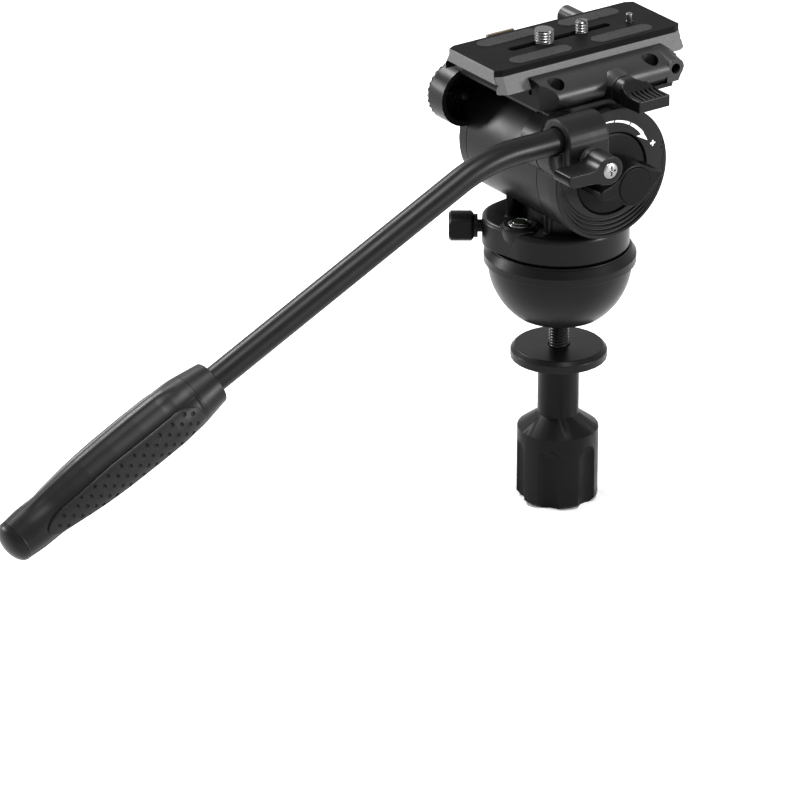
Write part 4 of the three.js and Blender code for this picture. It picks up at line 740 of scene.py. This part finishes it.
carve(plate, block("channel", (-channel_half, -60), (channel_half, 60), 100, 109.3),
      drawn("slot", stadium(0, slot_rear, slot_front, slot_half, 20), "Z", 108, 118))
for x in (pad_x, -pad_x):
    for y in (pad_rear, pad_front):
        pocket = stadium(x, y - pad_reach, y + pad_reach, 4.4, 24)
        carve(plate, drawn("pocket", pocket, "Z", pocket_floor, 118))
pin_hole = [(0, 108), (pin_room, 108), (pin_room, 118), (0, 118)]
carve(plate, turned("pin_hole", pin_hole, centre=pin_place, steps=40))
settle(plate, 20)
belongs(plate, "plate", "sandblasted", plate_flank_painted_sheen, "camera_plate")
plate.data.materials.append(plate_face)
# Top faces, the channel and slot, and the upper side band take the plain black; the flanks and ends keep the
# painted sheen.
for face in plate.data.polygons:
    inside = abs(face.center.x) < channel_half * mm and abs(face.center.y - 0.001) < 0.055
    top_band = abs(face.normal.x) > 0.9 and face.center.z > plate_shoulder * mm
    if face.normal.z > 0.9 or inside or top_band:
        face.material_index = 1

# Rubber pads
# Four long stadium-shaped pads of black rubber, glued in shallow pockets a little proud of the plate.
pad_rubber = finish("pad_rubber", (0.021, 0.021, 0.022),
                    roughness=0.7, specular=0.1, grain=0.6, depth=0.04, mottle=0.4)
for side, x in (("right", pad_x), ("left", -pad_x)):
    for end, y in (("rear", pad_rear), ("front", pad_front)):
        pad_outline = stadium(x, y - pad_reach, y + pad_reach, 4.25, 24)
        pad = drawn(f"pad_{side}_{end}", pad_outline, "Z", pocket_floor, 116.2)
        bevel(pad, 0.2, 3)
        belongs(pad, "plate", "pad", pad_rubber, f"plate_pad_{side}_{end}")

# Camera screws
# A 3/8 inch and a 1/4 inch screw of plated steel: each has a flat head in the channel under the plate,
# a washer, and a thread that stands above the slot. The smaller one has a screwdriver slot.
head_radius, neck_radius, thread_start, thread_pitch = 6, 2, 116.0, 1.4
for name, body, y, radius, tip in (("three_eighths", "rear_screw", -11.1, 4.76, 122.1),
                                   ("quarter_inch", "front_screw", 11.2, 3.175, 121.5)):
    rise = [(radius, thread_start + 0.2 * step) for step in range(int((tip - 0.5 - thread_start) / 0.2) + 1)]
    below = [(0, 106.1), (5.7, 106.1), (head_radius, 106.4), (head_radius, 107.9), (neck_radius, 107.9),
             (neck_radius, 115.4), (radius - 0.6, 115.4), (radius, 115.8)]
    rod = turned(f"{name}_thread", below + rise + [(radius - 0.5, tip), (0, tip)], centre=(0, y, 0), steps=56)
    threaded(rod, radius, 0.75, thread_pitch, 115.6, tip + thread_pitch, (0, y))
    if name == "quarter_inch":
        carve(rod, block("slot", (-4, y - 0.4), (4, y + 0.4), tip - 1, tip + 1))
        settle(rod, 50)
    belongs(rod, body, "chrome", chrome, f"{name}_screw")
    washer_bore = radius * 0.45 + 0.6
    washer_outline = [(washer_bore, 108.2), (head_radius, 108.2), (head_radius, 109), (washer_bore, 109)]
    washer = turned(f"{name}_washer", washer_outline, centre=(0, y, 0), steps=56)
    bevel(washer, 0.1, 2)
    belongs(washer, f"{body}_slide", "steel", bright_steel, f"{name}_collar")

# Alignment pin
# A sprung pin of plated steel at the front of the plate, with a rounded tip and a ring groove.
pin_outline = [(0, 109.6), (1.65, 109.6), (1.65, 117.0), (1.3, 117.2), (1.3, 117.6), (1.7, 117.8),
               (1.7, 120.2), (1.5, 120.7), (1.0, 121.0), (0, 121.1)]
pin = turned("video_pin", pin_outline, centre=pin_place, steps=40)
belongs(pin, "pin", "chrome", chrome, "alignment_pin")

# Handle arm
# One aluminium casting: a rosette disc that clamps against the lobe, a rounded block outside it for the
# lock lever, and a thick socket across both that the handle tube is pressed into.
arm = from_solid("handle_arm", "arm_casting", 0)
moulded(arm, 0.45, 14)
arm_black = finish("arm_black", (0.004, 0.004, 0.0042),
                   roughness=0.42, specular=0.12, grain=0.35, depth=0.004)
belongs(arm, "handle", "anodised", arm_black, "handle_arm")

# Handle tube
# A black anodised aluminium tube, bent once behind the head and running down into the grip.
tube_black = finish("tube_black", (0.004, 0.004, 0.0042),
                    roughness=0.36, specular=0.11, grain=0.3, depth=0.004)
tube_x, tube_z, tube_drop = 52.2, 88.7, math.radians(25.4)
fall = Vector((0, -math.cos(tube_drop), -math.sin(tube_drop)))
corner = Vector((tube_x, -82.8, tube_z))
grip_start = Vector((tube_x, -237.7, 15.1))
bpy.ops.object.select_all(action="DESELECT")
bpy.ops.curve.primitive_bezier_curve_add(location=(0, 0, 0))
tube = bpy.context.object
tube.name = "handle_tube_bent"
line = tube.data.splines[0]
line.bezier_points.add(2)
bend_reach = 18
tube_start = Vector((tube_x, -36.2, tube_z))
bend_in, bend_out = corner + Vector((0, bend_reach, 0)), corner + fall * bend_reach
marks = [
    (tube_start, tube_start + Vector((0, 4, 0)), Vector((tube_x, -45, tube_z))),
    (bend_in, bend_in + Vector((0, 6, 0)), bend_in + (corner - bend_in) * 2 / 3),
    (bend_out, bend_out + (corner - bend_out) * 2 / 3, bend_out + fall * 6),
    (grip_start + fall * 90, grip_start + fall * 80, grip_start + fall * 95),
]
for point, (middle, before, after) in zip(line.bezier_points, marks):
    point.handle_left_type = point.handle_right_type = "FREE"
    point.co, point.handle_left, point.handle_right = middle * mm, before * mm, after * mm
tube.data.dimensions = "3D"
tube.data.bevel_depth = 6.35 * mm
tube.data.bevel_resolution = 14
tube.data.resolution_u = 24
tube.data.use_fill_caps = True
bpy.ops.object.convert(target="MESH")
tube.data.name = "handle_tube_bent"
settle(tube, 50)
belongs(tube, "handle", "anodised", tube_black, "handle_tube")

# Grip collar
# The plain turned end of the grip, which the tube runs into.
across = Vector((1, 0, 0))
upward = fall.cross(across)
grip_frame = Matrix((across, upward, fall)).transposed().to_4x4()
grip_frame = Matrix.Translation(grip_start * mm) @ grip_frame
grip_rubber = finish("grip_rubber", (0.005, 0.005, 0.0052),
                     roughness=0.36, specular=0.12, grain=0.45, depth=0.008)


def lay_along_tube(piece):
    """Moves a piece that was made about Z from the origin to the grip's place and direction."""
    piece.data.transform(grip_frame)
    return settle(piece)


tube_room, collar_length = 6.65, 12.7
collar_outline = [(tube_room, 0), (10.2, 0), (10.7, 0.5), (12.75, collar_length), (tube_room, collar_length)]
collar = turned("grip_collar_ring", collar_outline, steps=96)
lay_along_tube(collar)
bevel(collar, 0.12, 2, 50)
belongs(collar, "handle", "grip", grip_rubber, "handle_collar")

# Grip
# A moulded rubber sleeve with a smooth ridge above and below, drawn in beside each ridge, and a long
# shallow bed on each side for a dimpled panel.
sleeve_start, sleeve_end = 12.8, 118.6
grip_radii = [(sleeve_start, 12.95), (18, 13.7), (24, 14.6), (30, 15.1), (44, 15.2), (60, 14.95), (76, 14.35),
              (84, 13.75), (92, 12.95), (100, 12.05), (108, 11.25), (sleeve_end, 10.35)]


def grip_radius(t):
    """The grip's radius at a distance along it."""
    for (t0, r0), (t1, r1) in zip(grip_radii, grip_radii[1:]):
        if t <= t1:
            share = (t - t0) / (t1 - t0)
            return r0 + (r1 - r0) * share
    return grip_radii[-1][1]


def ease(low, high, value):
    """Goes smoothly from 0 at low to 1 at high."""
    share = min(1, max(0, (value - low) / (high - low)))
    return share * share * (3 - 2 * share)


stations = [sleeve_start + (sleeve_end - sleeve_start) * step / 206 for step in range(207)]
sleeve_skin = [(grip_radius(t) - 0.2, t) for t in stations]
sleeve_outline = [(tube_room, sleeve_start)] + sleeve_skin + [(tube_room, sleeve_end)]
sleeve = turned("grip_sleeve", sleeve_outline, steps=144)
bed_depth, ridge_angle = 1.25, 36
for vertex in sleeve.data.vertices:
    x, y, t = [c / mm for c in vertex.co]
    reach = math.hypot(x, y)
    if reach < tube_room + 0.35:
        continue
    from_side = abs(math.degrees(math.atan2(abs(y), abs(x))))
    along = ease(15, 30, t) * (1 - ease(96, 112, t))
    hollow = ease(86, 66, from_side) * along
    dip = bed_depth * hollow if from_side > ridge_angle else bed_depth * hollow + 0.2
    if t < 14 or t > sleeve_end - 1:
        dip = 0
    share = (reach - dip) / reach
    vertex.co = (x * share * mm, y * share * mm, t * mm)
lay_along_tube(sleeve)
belongs(sleeve, "handle", "grip", grip_rubber, "handle_grip")

# Grip panels
# Two long oval panels of softer rubber, let into the sides of the grip, with staggered round dimples.
panel_rubber = finish("panel_rubber", (0.01, 0.01, 0.0102),
                      roughness=0.42, specular=0.1, grain=0.5, depth=0.012)
panel_low, panel_high, panel_half, panel_tail, panel_end = 15.5, 106.5, 9.0, 0.62, 12
panel_proud, panel_edge, edge_drop, edge_width, panel_thickness = 0.1, 0.86, 0.9, 6, 1.6
dimple_start, dimple_pitch, dimple_row, dimple_radius, dimple_depth, dimple_limit = 24, 7.7, 3.0, 1.1, 0.9, 0.8
for side, hand in (("right", 1), ("left", -1)):
    bpy.ops.object.select_all(action="DESELECT")
    bpy.ops.mesh.primitive_grid_add(x_subdivisions=360, y_subdivisions=72, size=2)
    panel = bpy.context.object
    panel.name = panel.data.name = f"grip_panel_{side}_skin"
    for vertex in panel.data.vertices:
        u, v = vertex.co.x, vertex.co.y
        t = (panel_low + panel_high) / 2 + u * (panel_high - panel_low) / 2
        end_gap = min(t - panel_low, panel_high - t)
        end_round = math.sqrt(max(0, 1 - (1 - min(1, end_gap / panel_end)) ** 2))
        half = panel_half * end_round * (panel_tail + (1 - panel_tail) * ease(108, 60, t))
        across_arc = v * half
        rim = max(abs(v), 1 - end_gap / edge_width)
        lift = panel_proud - edge_drop * max(0, (rim - panel_edge) / (1 - panel_edge)) ** 2
        row = round(across_arc / dimple_row)
        shift = dimple_pitch / 2 if row % 2 else 0
        first = dimple_start + shift
        station = round((t - first) / dimple_pitch) * dimple_pitch + first
        near = math.hypot(t - station, across_arc - row * dimple_row) / dimple_radius
        if near < 1 and rim < dimple_limit and panel_low + 3 < station < panel_high - 5:
            lift -= dimple_depth * (1 - near ** 3)
        radius = grip_radius(t) + lift
        angle = across_arc / grip_radius(t)
        vertex.co = (hand * radius * math.cos(angle) * mm, radius * math.sin(angle) * mm, t * mm)
    edit(panel)
    bpy.ops.mesh.remove_doubles(threshold=0.00001)
    bpy.ops.mesh.normals_make_consistent(inside=False)
    bpy.ops.object.mode_set(mode="OBJECT")
    middle = min(panel.data.polygons, key=lambda face: abs(face.center.z - 0.06) + abs(face.center.y))
    if middle.normal.x * hand < 0:
        edit(panel)
        bpy.ops.mesh.flip_normals()
        bpy.ops.object.mode_set(mode="OBJECT")
    apply(panel, "SOLIDIFY", thickness=panel_thickness * mm, offset=-1)
    lay_along_tube(panel)
    belongs(panel, "handle", "grip", panel_rubber, f"grip_panel_{side}")

# Grip end cap
# A domed rubber cap that closes the end of the grip behind a fine seam.
cap_start, cap_depth = sleeve_end + 0.15, 6.2
cap_radius, cap_edge = 10.2, 0.3
cap_dome = [(cap_radius * math.cos(math.radians(a)),
             cap_start + cap_edge + (cap_depth - cap_edge) * math.sin(math.radians(a)))
            for a in range(0, 90, 6)]
cap_outline = [(0, cap_start), (10.0, cap_start)] + cap_dome + [(0, cap_start + cap_depth)]
end_cap = turned("grip_cap_dome", cap_outline)
lay_along_tube(end_cap)
belongs(end_cap, "handle", "grip", grip_rubber, "grip_end_cap")

# Handle lock
# A cast S-curved lever on the bolt through the rosette, with a cross-head screw in its hub and a plain
# washer under it; the lever clamps the handle's rosette against the lobe.
lever_back, lever_front = 67.9, 80.9
lever_marks = arc((0, 0), 7.1, 100, -100, 10) + [
    (-4.4, -6.5), (-7.2, -5.1), (-14, -4.5), (-20.7, -4.1), (-23.2, -3.1), (-24.4, -1.2), (-24.0, 0.8),
    (-22.5, 2.0), (-16, 2.0), (-12, 1.9), (-8.6, 2.5), (-6.0, 3.9), (-4.2, 5.6)]


def flowing(marks, steps):
    """Runs a smooth closed line through marks on a piece's outline."""
    line = []
    for place, near in enumerate(marks):
        before, after = marks[place - 1], marks[(place + 1) % len(marks)]
        beyond = marks[(place + 2) % len(marks)]
        for step in range(steps):
            t = step / steps
            line.append([0.5 * (2 * b + (c - a) * t + (2 * a - 5 * b + 4 * c - d) * t * t +
                                (3 * b - a - 3 * c + d) * t ** 3)
                         for a, b, c, d in zip(before, near, after, beyond)])
    return line


def about_rosette(marks):
    """Moves an outline from the origin to the rosette's axis."""
    return [(rosette_place[1] + a, rosette_place[2] + b) for a, b in marks]


lever = drawn("lock_lever_casting", about_rosette(flowing(lever_marks, 5)), "X", lever_back, lever_front)
moulded(lever, 0.33, 14)
head_seat = [(0, 79.7), (4.4, 79.7), (4.4, 82), (0, 82)]
carve(lever, turned("head_seat", head_seat, "X", rosette_place, 48))
bpy.ops.object.shade_smooth_by_angle(angle=math.radians(45))
belongs(lever, "handle_lock", "plastic", satin_black, "handle_lock_lever")
lock_head, dome_start = 4.1, 80.7
screw_dome = [(lock_head * math.cos(math.radians(a)), dome_start + 1.0 * math.sin(math.radians(a)))
              for a in range(0, 90, 10)]
lock_outline = [(0, 79.8), (lock_head, 79.8)] + screw_dome + [(0, dome_start + 1.0)]
lock_screw = turned("lock_screw_head", lock_outline, "X", rosette_place, 64)
for wide, tall in ((2.6, 0.45), (0.45, 2.6)):
    cross = about_rosette([(-wide, -tall), (wide, -tall), (wide, tall), (-wide, tall)])
    carve(lock_screw, drawn("cross", cross, "X", 80.6, 82))
settle(lock_screw)
# A brighter copy of the screws' chrome: painted highlight on the lock screw's head.
screw_chrome_painted_highlight = finish("screw_chrome_painted_highlight", (0.22, 0.22, 0.222),
                      roughness=0.3, specular=0.5, grain=0.5, depth=0.0006, metallic=1.0, mottle=0.08)
belongs(lock_screw, "handle_lock", "chrome", screw_chrome_painted_highlight, "handle_lock_screw")
washer_outline = [(3.3, 63.6), (6.1, 63.6), (6.1, 67.6), (3.3, 67.6)]
washer = turned("lock_washer_ring", washer_outline, "X", rosette_place, 64)
bevel(washer, 0.5, 3)
belongs(washer, "handle_lock", "steel", bright_steel, "handle_lock_washer")
